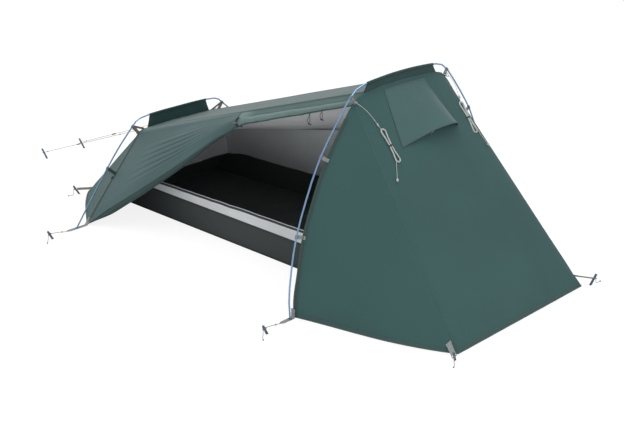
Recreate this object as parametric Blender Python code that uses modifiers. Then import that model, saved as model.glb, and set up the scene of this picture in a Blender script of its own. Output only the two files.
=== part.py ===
"""One-person tent on two outside hoops, pitched with its near door tied open.

Frame: metres, +Z up, +X towards the sleeper's head, +Y towards the far side.
The origin is on the ground, on the centre line, in the plane of the head hoop's feet.
Cloth is drawn thicker than life so that each panel is a closed solid.
"""
import math
from dataclasses import dataclass

import bmesh
import bpy
from mathutils import Matrix, Vector
from mathutils.kdtree import KDTree

# Poles
POLE_RADIUS = 0.00425
POLE_WALL = 0.00065
FERRULE_RADIUS = 0.0031
FERRULE_WALL = 0.0006
FERRULE_REACH = 0.050
SHOCK_CORD_RADIUS = 0.0017
TIP_RADIUS = 0.0046
HOOP_SPACING = 1.656

# Cloth
FLY_THICKNESS = 0.0020
INNER_THICKNESS = 0.0015
SEAM_GAP = 0.0004
SEAT_GAP = 0.0004
HEM_LIFT = 0.004
ROOF_HALF_WIDTH = 0.235

# Head end of the flysheet
HEAD_CORNER_REACH = 0.790
HEAD_CORNER_HALF_WIDTH = 0.500
HEAD_HEM_BOW = 0.030
# Foot end of the flysheet
FOOT_CORNER_REACH = 0.419
FOOT_CORNER_HALF_WIDTH = 0.395
FOOT_HEM_BOW = 0.012

# Pole sleeves and clips
SLEEVE_WALL = 0.0030
SLEEVE_CLEARANCE = 0.0007
SKIRT_THICKNESS = 0.0030
CLIP_WALL = 0.0026
CLIP_WIDTH = 0.016
WEBBING_THICKNESS = 0.0025

# Vent in the head end
VENT_OFFSET = 0.030
HOOD_TOP_HALF_WIDTH = 0.150
HOOD_FOOT_HALF_WIDTH = 0.210
HOOD_LENGTH = 0.275
HOOD_TOP_DROP = 0.022
HOOD_STAND = 0.052

# Door of the flysheet
TIE_X = -0.870
ROLL_RADIUS_AT_TIE = 0.0255
ROLL_RADIUS_AT_HEAD = 0.0180
ROLL_TURNS = 1.6
ROLL_STEP = 0.0050
ROLL_DROP_AT_TIE = 0.047
ROLL_DROP_AT_HEAD = 0.027
HEM_SAG = 0.018
GATHER_DEPTH = 0.022
GATHER_DROP = 0.078
FOLD_COUNT = 5
FOLD_DEPTH = 0.011
TIE_WIDTH = 0.018
TIE_WALL = 0.0020
TOGGLE_LENGTH = 0.036
TOGGLE_RADIUS = 0.0035
SLIDER_HEIGHT_ON_LEG = 0.225

# Inner tent
TUB_FOOT_X = -1.840
TUB_HEAD_X = 0.350
TUB_NEAR_Y = -0.326
TUB_FAR_Y_AT_FOOT = 0.424
TUB_FAR_Y_AT_HEAD = 0.570
TUB_WALL = 0.150
TUB_FOOT_LEAN = 0.110
SILL_AT_FOOT = 0.048
SILL_AT_HEAD = 0.088
CEILING_FOOT_X = -1.650
CEILING_HEAD_X = -0.012
CEILING_NEAR_Y = -0.200
CEILING_FAR_Y = 0.330
CREASE_Z_AT_FOOT = 0.336
CREASE_Z_AT_HEAD = 0.660
INNER_SLIDER_X = 0.180

# Ground hardware
PEG_RADIUS = 0.0065
PEG_FIN = 0.0022
PEG_SHOW = 0.055
PEG_LEAN = math.radians(30)
GUY_PEG_LEAN = math.radians(42)
PEG_LOOP_HEIGHT = 0.034
STRAP_WIDTH = 0.025
STRAP_THICKNESS = 0.0025
STRAP_LIFT = 0.0008
STRAP_REACH = 0.085
HOOP_PEG_REACH = 0.180
HOOP_PEG_STEP = 0.030
CORNER_PEG_REACH = 0.053
CORNER_TAB_RISE = 0.050
CORNER_TAB_SHIFT = 0.024
STRAP_CORD_RADIUS = 0.0016
GUY_PEG_X = -2.777
GUY_PEG_SPREAD = 0.147
GUY_PEG_SHIFT = -0.054

# Cords
GUY_RADIUS = 0.00125
GUY_START_SHARE = 0.55
ADJUSTER_RADIUS = 0.0050
ADJUSTER_CLEARANCE = 0.0005
ADJUSTER_LENGTH = 0.026
NEAR_ADJUSTER_SHARE = 0.60
FAR_ADJUSTER_SHARE = 0.75
HANK_CORD_RADIUS = 0.0011
HANK_PITCH = 0.0029
HANK_HALF_LENGTH = 0.082
HANK_LOBE = 0.0068
HANK_WAIST = 0.0036
HANK_TURNS_IN = 2.5
HANK_TURNS_OUT = 2.0 + 19.0 / 24.0
HANK_CAP_STEPS = 8
HANK_SIDE_STEPS = 4
GAP_SAMPLE_STEP = 0.0005
HANK_CENTRE_DROP = 0.262
NEAR_HANK_Y = -0.270
FAR_HANK_Y = 0.322
TAIL_LENGTH = 0.075
TAIL_DRIFT = 0.050
TOGGLE_BEAD_RADIUS = 0.0060


@dataclass(frozen=True)
class Hoop:
    """One bent pole, the flysheet's line inside it, and where its clips sit."""

    name: str
    x: float
    lean: float
    half_width: float
    height: float
    shape: tuple
    hang: float
    hang_at_ground: float
    sleeve_half: float
    shoulder_half: float
    crown_half_length: float
    near_clips: tuple
    far_clips: tuple


# Each outline pair is a share of the hoop's half width and a share of its height,
# and so is each clip's place on the pole.
HEAD_HOOP = Hoop(
    name="head_hoop", x=0.0, lean=0.0, half_width=0.765, height=1.055,
    shape=((1.0, 0.0), (1.006, 0.13), (0.952, 0.355), (0.856, 0.541), (0.730, 0.716),
           (0.533, 0.897), (0.455, 0.953), (0.375, 0.984), (0.170, 0.997), (0.0, 1.0)),
    hang=0.042, hang_at_ground=0.022, sleeve_half=0.245, shoulder_half=0.335,
    crown_half_length=0.500,
    near_clips=(("upper", 0.946), ("middle", 0.7175), ("lower", 0.384)),
    far_clips=(("upper", 0.946), ("middle", 0.7175)))
FOOT_HOOP = Hoop(
    name="foot_hoop", x=-HOOP_SPACING, lean=0.044, half_width=0.785, height=0.533,
    shape=((1.0, 0.0), (0.888, 0.20), (0.738, 0.46), (0.586, 0.709),
           (0.440, 0.910), (0.365, 0.982), (0.200, 0.998), (0.0, 1.0)),
    hang=0.072, hang_at_ground=0.066, sleeve_half=0.213, shoulder_half=0.280,
    crown_half_length=0.420,
    near_clips=(("upper", 0.9156), ("middle", 0.544)),
    far_clips=(("upper", 0.9156),))
CROWN_HALF_STEPS = 6
LEG_STEPS = 11
CLIP_STRAIGHT = 0.010

COLOURS = {
    "pole": (0.16, 0.30, 0.52), "fly": (0.055, 0.115, 0.105), "fly_light": (0.16, 0.22, 0.21),
    "inner": (0.42, 0.44, 0.44), "tub": (0.030, 0.036, 0.036), "sill": (0.70, 0.73, 0.74),
    "mesh": (0.02, 0.03, 0.03), "plastic": (0.25, 0.29, 0.32), "webbing": (0.36, 0.39, 0.40),
    "cord": (0.62, 0.65, 0.64), "peg": (0.20, 0.27, 0.34), "elastic": (0.55, 0.55, 0.53),
}
ROUGHNESS = {"pole": 0.30, "plastic": 0.45, "peg": 0.40}


def clear_scene():
    """Remove whatever the file holds."""
    for item in list(bpy.data.objects):
        bpy.data.objects.remove(item, do_unlink=True)


def material(name):
    """Return the named plain material, made on first use."""
    found = bpy.data.materials.get(name)
    if found:
        return found
    made = bpy.data.materials.new(name)
    made.use_nodes = True
    shader = made.node_tree.nodes["Principled BSDF"]
    shader.inputs["Base Color"].default_value = (*COLOURS[name], 1.0)
    shader.inputs["Roughness"].default_value = ROUGHNESS.get(name, 0.85)
    shader.inputs["Metallic"].default_value = 0.9 if name in ("pole", "peg") else 0.0
    return made


def add_object(name, data, look):
    """Link a mesh or curve to the tent's collection under the name of its piece."""
    item = bpy.data.objects.new(name, data)
    bpy.data.collections["tent"].objects.link(item)
    data.materials.append(material(look))
    return item


def mesh_object(name, mesh_maker, look):
    """Turn a bmesh into an object and free the bmesh."""
    mesh = bpy.data.meshes.new(name)
    mesh_maker.to_mesh(mesh)
    mesh_maker.free()
    return add_object(name, mesh, look)


def smooth_path(points, steps_each):
    """Pass a Catmull-Rom curve through the points, with the same steps in each stretch."""
    padded = [points[0] * 2 - points[1], *points, points[-1] * 2 - points[-2]]
    path = []
    for before, start, end, after in zip(padded, padded[1:], padded[2:], padded[3:]):
        for step in range(steps_each):
            t = step / steps_each
            path.append(0.5 * (2 * start + (end - before) * t
                               + (2 * before - 5 * start + 4 * end - after) * t * t
                               + (3 * start - before - 3 * end + after) * t * t * t))
    path.append(points[-1].copy())
    return path


def lengths_along(path):
    """Return the running length at each point of a path."""
    run = [0.0]
    for start, end in zip(path, path[1:]):
        run.append(run[-1] + (end - start).length)
    return run


def point_along(path, run, distance):
    """Return the point at a running length."""
    distance = min(max(distance, 0.0), run[-1])
    for index in range(len(path) - 1):
        if run[index + 1] >= distance:
            stretch = run[index + 1] - run[index]
            share = (distance - run[index]) / stretch if stretch else 0.0
            return path[index].lerp(path[index + 1], share)
    return path[-1].copy()


def stretch_of(path, start, end, count):
    """Return count + 1 evenly spaced points between two running lengths of a path."""
    run = lengths_along(path)
    return [point_along(path, run, start + (end - start) * i / count) for i in range(count + 1)]


def hoop_point(hoop, y, z):
    """Place a point of the hoop's own plane, which leans towards the foot."""
    return Vector((hoop.x - hoop.lean * z, y, z))


def half_profile(hoop):
    """Return the far half of the pole's line as (y, z), from its foot to the crown."""
    corners = [Vector((y * hoop.half_width, z * hoop.height)) for y, z in hoop.shape]
    mirrored = Vector((-corners[-2].x, corners[-2].y))
    return smooth_path(corners + [mirrored], 8)[:-8]


def inward(hoop, z):
    """Return the direction from the pole to the flysheet at a height."""
    turn = 0.5 * math.pi * min(max(z / hoop.height, 0.0), 1.0) ** 2
    return Vector((-math.cos(turn), -math.sin(turn)))


def hang_at(hoop, z):
    """Return how far the flysheet hangs inside the pole at a height."""
    rise = min(max(z / (0.2 * hoop.height), 0.0), 1.0)
    return hoop.hang_at_ground + (hoop.hang - hoop.hang_at_ground) * rise


def fly_profile(hoop):
    """Return the far half of the flysheet's line under a hoop, from its hem to the crown."""
    line = [point + inward(hoop, point.y) * hang_at(hoop, point.y) for point in half_profile(hoop)]
    line = [point for point in line if point.x >= 0.0]
    line.append(Vector((0.0, line[-1].y)))
    first = next(i for i, point in enumerate(line) if point.y > HEM_LIFT)
    if first == 0:
        return line
    below, above = line[first - 1], line[first]
    share = (HEM_LIFT - below.y) / (above.y - below.y)
    return [below.lerp(above, share)] + line[first:]


def length_at_half_width(line, half_width):
    """Return the running length where an upper half line comes in to a half width."""
    run = lengths_along(line)
    for index in range(len(line) - 2, -1, -1):
        if line[index].x >= half_width:
            low, high = line[index + 1].x, line[index].x
            share = (half_width - low) / (high - low)
            return run[index + 1] + (run[index] - run[index + 1]) * share
    return 0.0


def length_at_height(line, height):
    """Return the running length where a half line first reaches a height."""
    run = lengths_along(line)
    for index in range(len(line) - 1):
        if line[index + 1].y >= height:
            share = (height - line[index].y) / (line[index + 1].y - line[index].y)
            return run[index] + (run[index + 1] - run[index]) * max(share, 0.0)
    return run[-1]


def fly_line(hoop, start, end, count, side):
    """Return points of the flysheet's line under a hoop between two running lengths."""
    points = stretch_of(fly_profile(hoop), start, end, count)
    return [hoop_point(hoop, side * p.x, p.y) for p in points]


def fly_crown(hoop, half_width, count):
    """Return the flysheet's crown line from the near side to the far side."""
    line = fly_profile(hoop)
    start = length_at_half_width(line, half_width)
    half = stretch_of(line, start, lengths_along(line)[-1], count // 2)
    near = [hoop_point(hoop, -p.x, p.y) for p in half]
    far = [hoop_point(hoop, p.x, p.y) for p in reversed(half[:-1])]
    return near + far


def mix(start, end, count):
    """Return count + 1 points on a straight line."""
    return [start.lerp(end, i / count) for i in range(count + 1)]


def draw_back(grid, distance):
    """Pull the four edges of a grid of points in along the cloth, which leaves the seam gap."""
    for row in grid:
        row[0] += (row[1] - row[0]).normalized() * distance
        row[-1] += (row[-2] - row[-1]).normalized() * distance
    for column in range(len(grid[0])):
        first = (grid[1][column] - grid[0][column]).normalized() * distance
        last = (grid[-2][column] - grid[-1][column]).normalized() * distance
        grid[0][column] += first
        grid[-1][column] += last
    return grid


def cloth(name, grid, thickness, outward, look, hole=None, gap=SEAM_GAP):
    """Make a sheet from rows of points, grown outwards to its thickness.

    The hole is (first row, last row, first column, last column) of faces left out.
    """
    draw_back(grid, gap / 2)
    maker = bmesh.new()
    rows = [[maker.verts.new(point) for point in row] for row in grid]
    for i in range(len(rows) - 1):
        for j in range(len(rows[0]) - 1):
            if hole and hole[0] <= i <= hole[1] and hole[2] <= j <= hole[3]:
                continue
            maker.faces.new((rows[i][j], rows[i][j + 1], rows[i + 1][j + 1], rows[i + 1][j]))
    loose = [vert for vert in maker.verts if not vert.link_faces]
    bmesh.ops.delete(maker, geom=loose, context="VERTS")
    maker.normal_update()
    facing = sum((face.normal * face.calc_area() for face in maker.faces), Vector())
    if facing.dot(Vector(outward)) < 0:
        bmesh.ops.reverse_faces(maker, faces=maker.faces)
    item = mesh_object(name, maker, look)
    item.data.shade_smooth()
    wall = item.modifiers.new("thickness", "SOLIDIFY")
    wall.thickness = thickness
    wall.offset = 1.0
    wall.use_even_offset = True
    return item


def ruled(edge_a, edge_b, steps, bow=None):
    """Return rows of points from one edge to the other, with an optional bow vector function."""
    rows = []
    for step in range(steps + 1):
        t = step / steps
        row = [a.lerp(b, t) for a, b in zip(edge_a, edge_b)]
        if bow:
            last = len(row) - 1
            row = [point + bow(t, index / last) for index, point in enumerate(row)]
        rows.append(row)
    return rows


def evaluated_mesh(item, name):
    """Return an object's finished mesh in world space, with its caps welded."""
    graph = bpy.context.evaluated_depsgraph_get()
    mesh = bpy.data.meshes.new_from_object(item.evaluated_get(graph))
    mesh.transform(item.matrix_world)
    maker = bmesh.new()
    maker.from_mesh(mesh)
    bmesh.ops.remove_doubles(maker, verts=maker.verts, dist=1e-6)
    maker.to_mesh(mesh)
    maker.free()
    mesh.name = name
    return mesh


def set_origin(item, point):
    """Move an object's origin to a point of its joint's axis, and leave its mesh in place."""
    item.data.transform(Matrix.Translation(-point))
    item.location = point


def baked(item, look):
    """Replace an object by its finished mesh."""
    name = item.name
    mesh = evaluated_mesh(item, name)
    bpy.data.objects.remove(item, do_unlink=True)
    mesh.materials.clear()
    return add_object(name, mesh, look)


def combine(base, other, operation, look):
    """Join another mesh to the base, or cut it away, and remove the other."""
    change = base.modifiers.new(operation.lower(), "BOOLEAN")
    change.operation = operation
    change.solver = "EXACT"
    change.object = other
    joined = baked(base, look)
    bpy.data.objects.remove(other, do_unlink=True)
    return joined


def cord(name, points, radius, look, resolution=2, caps=True, radii=None):
    """Make a round rod along the points; radii are shares of the radius at each point."""
    data = bpy.data.curves.new(name, "CURVE")
    data.dimensions = "3D"
    data.bevel_depth = radius
    data.bevel_resolution = resolution
    data.use_fill_caps = caps
    data.twist_mode = "MINIMUM"
    spline = data.splines.new("POLY")
    spline.points.add(len(points) - 1)
    for index, point in enumerate(points):
        spline.points[index].co = (*point, 1.0)
        spline.points[index].radius = radii[index] if radii else 1.0
    return add_object(name, data, look)


def welded_cord(name, points, radius, look, resolution=2, radii=None):
    """Make a round rod whose caps are one with its side."""
    return baked(cord(name, points, radius, look, resolution, True, radii), look)


def pipe(name, points, radius, wall, look):
    """Make an open pipe along the points."""
    item = cord(name, points, radius, look, 2, False)
    thick = item.modifiers.new("wall", "SOLIDIFY")
    thick.thickness = wall
    thick.offset = -1.0
    return baked(item, look)


def flat_outline(name, outline, depth, look, place, holes=()):
    """Extrude a closed outline by its depth, centred on the outline's plane."""
    data = bpy.data.curves.new(name, "CURVE")
    data.dimensions = "2D"
    data.fill_mode = "BOTH"
    data.extrude = depth / 2
    for loop in (outline, *holes):
        spline = data.splines.new("POLY")
        spline.points.add(len(loop) - 1)
        for point, (u, v) in zip(spline.points, loop):
            point.co = (u, v, 0.0, 1.0)
        spline.use_cyclic_u = True
    item = baked(add_object(name, data, look), look)
    item.data.transform(place)
    return item


def arc(radius, start, end, count, centre=(0.0, 0.0)):
    """Return points on an arc, with its angles in degrees."""
    turns = [math.radians(start + (end - start) * i / count) for i in range(count + 1)]
    return [(centre[0] + radius * math.cos(a), centre[1] + radius * math.sin(a)) for a in turns]


def axes_matrix(origin, u, v, w):
    """Return the matrix of a frame given by its origin and three unit axes."""
    matrix = Matrix((u, v, w)).transposed().to_4x4()
    matrix.translation = origin
    return matrix


# Poles

def even_bends(path, start, end, count):
    """Return points between two running lengths of a path, closer together where it bends."""
    fine = stretch_of(path, start, end, count * 8)
    weights = [0.0]
    length = (end - start) / (count * 8)
    for index in range(1, len(fine)):
        turn = 0.0
        if index < len(fine) - 1:
            turn = abs((fine[index] - fine[index - 1]).angle_signed(fine[index + 1] - fine[index]))
        weights.append(weights[-1] + length + turn * 0.12)
    points = [fine[0]]
    for step in range(1, count):
        target = weights[-1] * step / count
        index = next(i for i, weight in enumerate(weights) if weight >= target)
        share = (target - weights[index - 1]) / (weights[index] - weights[index - 1])
        points.append(fine[index - 1].lerp(fine[index], share))
    return points + [fine[-1]]


def half_pole(hoop):
    """Return the leg and the half crown of a pole's far half as (y, z) lines.

    Both are straight where the ferrule joins them, and the leg is straight under each clip.
    """
    half = half_profile(hoop)
    run = lengths_along(half)
    foot = length_at_height(half, STRAP_LIFT + STRAP_THICKNESS + SEAT_GAP + TIP_RADIUS)
    joint = run[-1] - hoop.crown_half_length
    low = point_along(half, run, joint - FERRULE_REACH)
    high = point_along(half, run, joint + FERRULE_REACH)
    middle = low.lerp(high, 0.5)
    leg = even_bends(half, foot, joint - FERRULE_REACH, LEG_STEPS)
    crown = even_bends(half, joint + FERRULE_REACH, run[-1], CROWN_HALF_STEPS)
    for _, share in hoop.near_clips:
        where = length_at_height(half, share * hoop.height)
        ends = [point_along(half, run, where + step) for step in (-CLIP_STRAIGHT, CLIP_STRAIGHT)]
        line = leg if where < joint else crown
        centre = ends[0].lerp(ends[1], 0.5)
        kept = [p for p in line if (p - centre).length > 1.8 * CLIP_STRAIGHT]
        kept += ends
        kept.sort(key=lambda p: -p.x if p.y > 0.2 * hoop.height else -9.0 + p.y)
        line[:] = kept
    return leg + [middle], [middle] + crown


def pole_lines(hoop):
    """Return the pole's near leg, crown and far leg as lists of points."""
    leg, crown = half_pole(hoop)
    far_leg = [hoop_point(hoop, p.x, p.y) for p in leg]
    near_leg = [hoop_point(hoop, -p.x, p.y) for p in leg]
    near_crown = [hoop_point(hoop, -p.x, p.y) for p in crown]
    far_crown = [hoop_point(hoop, p.x, p.y) for p in reversed(crown[:-1])]
    return near_leg, near_crown + far_crown, far_leg


def shortened(points, distance):
    """Return a line with its last point drawn back."""
    moved = [point.copy() for point in points]
    moved[-1] += (moved[-2] - moved[-1]).normalized() * distance
    return moved


def build_poles(hoop):
    """Make a hoop's two legs with their ferrules, its crown and its shock cord."""
    near_leg, crown, far_leg = pole_lines(hoop)
    cut = shortened(shortened(crown, SEAT_GAP)[::-1], SEAT_GAP)
    pipe(f"{hoop.name}_crown", cut, POLE_RADIUS, POLE_WALL, "pole")
    press = FERRULE_RADIUS + (POLE_RADIUS - POLE_WALL - FERRULE_RADIUS) * 1.2
    for label, leg, beyond in (("near", near_leg, crown[1]), ("far", far_leg, crown[-2])):
        tube = pipe(f"{hoop.name}_{label}_leg", leg, POLE_RADIUS, POLE_WALL, "pole")
        joint = leg[-1]
        reach = FERRULE_REACH * 0.9
        back = (leg[-2] - joint).normalized() * reach
        ahead = (beyond - joint).normalized() * reach
        collar = [joint + back * 0.8, joint + back * 0.3]
        ring = pipe("collar", collar, press, press - FERRULE_RADIUS + FERRULE_WALL * 0.9, "pole")
        pin = pipe("ferrule", [joint + back, joint, joint + ahead], FERRULE_RADIUS, FERRULE_WALL, "pole")
        pin = combine(pin, ring, "UNION", "pole")
        tube = combine(tube, pin, "UNION", "pole")
        tip_mesh = bmesh.new()
        bmesh.ops.create_uvsphere(tip_mesh, u_segments=8, v_segments=5, radius=TIP_RADIUS,
                                  matrix=Matrix.Translation(leg[0]))
        tip = mesh_object("tip", tip_mesh, "pole")
        combine(tube, tip, "UNION", "pole")
    inset = TIP_RADIUS + 0.008
    near_end = near_leg[0] + (near_leg[1] - near_leg[0]).normalized() * inset
    far_end = far_leg[0] + (far_leg[1] - far_leg[0]).normalized() * inset
    elastic = [near_end, *near_leg[1:-1], *crown, *reversed(far_leg[1:-1]), far_end]
    cord(f"{hoop.name}_shock_cord", elastic, SHOCK_CORD_RADIUS, "elastic", 0)


def build_sleeve(hoop):
    """Make the sleeve round the crown and its skirt down to the flysheet's ridge."""
    crown = half_pole(hoop)[1]
    fly = fly_profile(hoop)
    run = lengths_along(fly)
    limit = next(i for i, point in enumerate(crown) if point.x < hoop.sleeve_half)
    share = (crown[limit - 1].x - hoop.sleeve_half) / (crown[limit - 1].x - crown[limit].x)
    half = [crown[limit - 1].lerp(crown[limit], share)]
    half += [point for point in crown[limit:] if hoop.sleeve_half - point.x > 0.006]
    stations = [Vector((-p.x, p.y)) for p in half] + half[-2::-1]
    bore = POLE_RADIUS + SLEEVE_CLEARANCE
    outer = bore + SLEEVE_WALL
    half_skirt = SKIRT_THICKNESS / 2
    stem = math.degrees(math.asin(half_skirt / outer))
    ring = arc(outer, -90 + stem, 270 - stem, 8)
    seat = FLY_THICKNESS * 1.06 + SEAT_GAP + (0.0010 if hoop.lean else 0.0)
    maker = bmesh.new()
    rings = []
    bore_line = []
    for station in stations:
        at_fly = point_along(fly, run, length_at_half_width(fly, abs(station.x))).y
        centre = hoop_point(hoop, station.x, station.y)
        bore_line.append(centre)
        foot = hoop_point(hoop, station.x, at_fly + seat)
        points = [centre + Vector((u, 0, v)) for u, v in ring]
        points += [foot + Vector((-half_skirt, 0, 0)), foot + Vector((half_skirt, 0, 0))]
        rings.append([maker.verts.new(point) for point in points])
    for first, second in zip(rings, rings[1:]):
        for i in range(len(first)):
            j = (i + 1) % len(first)
            maker.faces.new((first[i], first[j], second[j], second[i]))
    maker.faces.new(rings[0])
    maker.faces.new(rings[-1])
    bmesh.ops.recalc_face_normals(maker, faces=maker.faces)
    name = hoop.name.replace("_hoop", "_pole_sleeve")
    sleeve = mesh_object(name, maker, "fly")
    start = (bore_line[0] - bore_line[1]).normalized() * 0.01
    end = (bore_line[-1] - bore_line[-2]).normalized() * 0.01
    bore_line = [bore_line[0] + start] + bore_line + [bore_line[-1] + end]
    drill = welded_cord("drill", bore_line, bore, "fly", 3)
    combine(sleeve, drill, "DIFFERENCE", "fly")


def clip_frame(hoop, side, share):
    """Return the pole's point at a share of its height, the way to the flysheet and its run."""
    height = share * hoop.height
    leg, crown = half_pole(hoop)
    line = leg + crown[1:]
    index = next(i for i in range(len(line) - 1) if line[i + 1].y > height)
    low, high = line[index], line[index + 1]
    here = low.lerp(high, (height - low.y) / (high.y - low.y))
    way = inward(hoop, here.y)
    origin = hoop_point(hoop, side * here.x, here.y)
    along = hoop_point(hoop, side * high.x, high.y) - hoop_point(hoop, side * low.x, low.y)
    along.normalize()
    across = hoop_point(hoop, side * (here.x + way.x), here.y + way.y) - origin
    across = (across - along * across.dot(along)).normalized()
    return origin, across, along


def build_clips(hoop):
    """Make the hooks that hold the flysheet to the pole, each on its webbing tab."""
    bore = POLE_RADIUS + SEAT_GAP
    outer = bore + CLIP_WALL
    half = WEBBING_THICKNESS / 2
    rise = math.degrees(math.asin(half / outer))
    for label, side, clips in (("near", -1, hoop.near_clips), ("far", 1, hoop.far_clips)):
        for place, share in clips:
            origin, across, along = clip_frame(hoop, side, share)
            reach = clip_reach(hoop, side, share)
            outline = arc(outer, 140, 360 - rise, 7)
            outline += [(reach, -half), (reach, half)]
            outline += arc(outer, rise, 80, 3)
            outline += arc(bore, 80, -220, 10)
            normal = across.cross(along)
            frame = axes_matrix(origin, across, normal, across.cross(normal))
            name = f"{hoop.name.split('_')[0]}_clip_{label}_{place}"
            flat_outline(name, outline, CLIP_WIDTH, "plastic", frame)


def clip_reach(hoop, side, share):
    """Return how far a clip's webbing reaches from the pole to the flysheet's seam."""
    origin, across, along = clip_frame(hoop, side, share)
    nearest = hoop.hang
    for point in stretch_of(fly_profile(hoop), 0.0, lengths_along(fly_profile(hoop))[-1], 400):
        offset = hoop_point(hoop, side * point.x, point.y) - origin
        if abs(offset.dot(along)) < CLIP_WIDTH / 2:
            nearest = min(nearest, offset.dot(across))
    return nearest - FLY_THICKNESS * 1.35 - SEAT_GAP


# Flysheet

def corner(end, side):
    """Return a pegged corner of the flysheet's head or foot end."""
    if end == "head":
        return Vector((HEAD_CORNER_REACH, side * HEAD_CORNER_HALF_WIDTH, HEM_LIFT))
    return Vector((FOOT_HOOP.x - FOOT_CORNER_REACH, side * FOOT_CORNER_HALF_WIDTH, HEM_LIFT))


def shoulder_length(hoop):
    """Return the running length of the flysheet's line at its shoulder."""
    return length_at_half_width(fly_profile(hoop), hoop.shoulder_half)


def end_rows(hoop, end, steps_down, steps_across):
    """Return the rows of the end panel between its two creases, ridge first."""
    top = fly_crown(hoop, hoop.shoulder_half, steps_across)
    hem = mix(corner(end, -1), corner(end, 1), steps_across)
    return ruled(top, hem, steps_down)


def side_rows(hoop, end, side, steps_up, steps_across):
    """Return the rows of a side panel from the hoop's leg to the crease at the corner."""
    shoulder = shoulder_length(hoop)
    leg = fly_line(hoop, 0.0, shoulder, steps_up, side)
    crease = mix(corner(end, side), leg[-1], steps_up)
    slim = 0.006
    leg[-1] = leg[-1].lerp(leg[-2], slim / (leg[-1] - leg[-2]).length)
    away = (corner(end, side) - leg[-1]).normalized()
    crease[-1] = leg[-1] + away * slim
    hem = corner(end, side) - leg[0]
    out = Vector((hem.y, -hem.x, 0)).normalized()
    if out.y * side < 0:
        out = -out
    depth = HEAD_HEM_BOW if end == "head" else FOOT_HEM_BOW

    def bow(t, up):
        return out * depth * math.sin(math.pi * t ** 1.5) * (1 - up) ** 3

    return ruled(leg, crease, steps_across, bow)


def build_fly():
    """Make the flysheet's sewn panels."""
    roof = ruled(fly_crown(FOOT_HOOP, ROOF_HALF_WIDTH, 6), fly_crown(HEAD_HOOP, ROOF_HALF_WIDTH, 6), 6)
    cloth("fly_roof", roof, FLY_THICKNESS, (0, 0, 1), "fly_light")
    edges = []
    for hoop in (FOOT_HOOP, HEAD_HOOP):
        line = fly_profile(hoop)
        edges.append(fly_line(hoop, 0.0, length_at_half_width(line, ROOF_HALF_WIDTH), 12, 1))
    cloth("fly_far_side", ruled(edges[0], edges[1], 6), FLY_THICKNESS, (0, 1, 1), "fly")
    for end, hoop, way in (("head", HEAD_HOOP, 1), ("foot", FOOT_HOOP, -1)):
        rows = end_rows(hoop, end, 10, 10)
        hole = (1, 1, 3, 6) if end == "head" else None
        cloth(f"fly_{end}_end", rows, FLY_THICKNESS, (way, 0, 1), "fly", hole)
        for label, side in (("near", -1), ("far", 1)):
            rows = side_rows(hoop, end, side, 10, 5)
            cloth(f"fly_{end}_{label}", rows, FLY_THICKNESS, (way * 0.3, side, 0.3), "fly")
    rows = [row[3:8] for row in end_rows(HEAD_HOOP, "head", 10, 10)[1:3]]
    cloth("vent_mesh", rows, FLY_THICKNESS, (1, 0, 1), "mesh", gap=3 * SEAM_GAP)


def head_end_frame(y, drop):
    """Return a point of the head end panel, its normal and its downhill way.

    The drop is the distance down the cloth from the ridge.
    """
    rows = end_rows(HEAD_HOOP, "head", 12, 24)
    middle = len(rows[0]) // 2
    slope = (rows[-1][middle] - rows[0][middle]).length
    t = min(drop / slope, 1.0)
    row = [top.lerp(hem, t) for top, hem in zip(rows[0], rows[-1])]
    index = max(i for i in range(len(row) - 1) if row[i].y <= y or i == 0)
    share = (y - row[index].y) / (row[index + 1].y - row[index].y)
    point = row[index].lerp(row[index + 1], share)
    down = (rows[-1][index].lerp(rows[-1][index + 1], share)
            - rows[0][index].lerp(rows[0][index + 1], share)).normalized()
    across = (row[index + 1] - row[index]).normalized()
    normal = across.cross(down).normalized()
    if normal.x < 0:
        normal = -normal
    return point, normal, down


def build_hood():
    """Make the vent's stiffened hood, sewn down at its top and sides, with an arched lower edge."""
    rows = []
    for step in range(7):
        share = step / 6
        drop = HOOD_TOP_DROP + HOOD_LENGTH * share
        half = HOOD_TOP_HALF_WIDTH + (HOOD_FOOT_HALF_WIDTH - HOOD_TOP_HALF_WIDTH) * share
        row = []
        for column in range(11):
            eta = column / 5 - 1
            point, normal, down = head_end_frame(VENT_OFFSET + eta * half, drop)
            stand = HOOD_STAND * share ** 1.2 * (1 - eta * eta)
            row.append(point + normal * (FLY_THICKNESS + SEAT_GAP + stand))
        rows.append(row)
    cloth("vent_hood", rows, FLY_THICKNESS, (1, 0, 1), "fly")


def roof_edge(x):
    """Return the near edge of the roof at a station along the tent."""
    foot = fly_crown(FOOT_HOOP, ROOF_HALF_WIDTH, 6)[0]
    head = fly_crown(HEAD_HOOP, ROOF_HALF_WIDTH, 6)[0]
    return foot.lerp(head, (x - foot.x) / (head.x - foot.x))


def roll_point(x, angle):
    """Return the roll's middle line at a station and its cloth's offset at an angle.

    The angle starts on the side of the tent's middle and turns down and outwards.
    """
    share = min(max((x - TIE_X) / -TIE_X, 0.0), 1.0)
    outer = ROLL_RADIUS_AT_TIE + (ROLL_RADIUS_AT_HEAD - ROLL_RADIUS_AT_TIE) * share
    drop = ROLL_DROP_AT_TIE + (ROLL_DROP_AT_HEAD - ROLL_DROP_AT_TIE) * share
    centre = roof_edge(x) + Vector((0, -outer, -drop))
    return centre, outer - ROLL_STEP * angle / (2 * math.pi)


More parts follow.
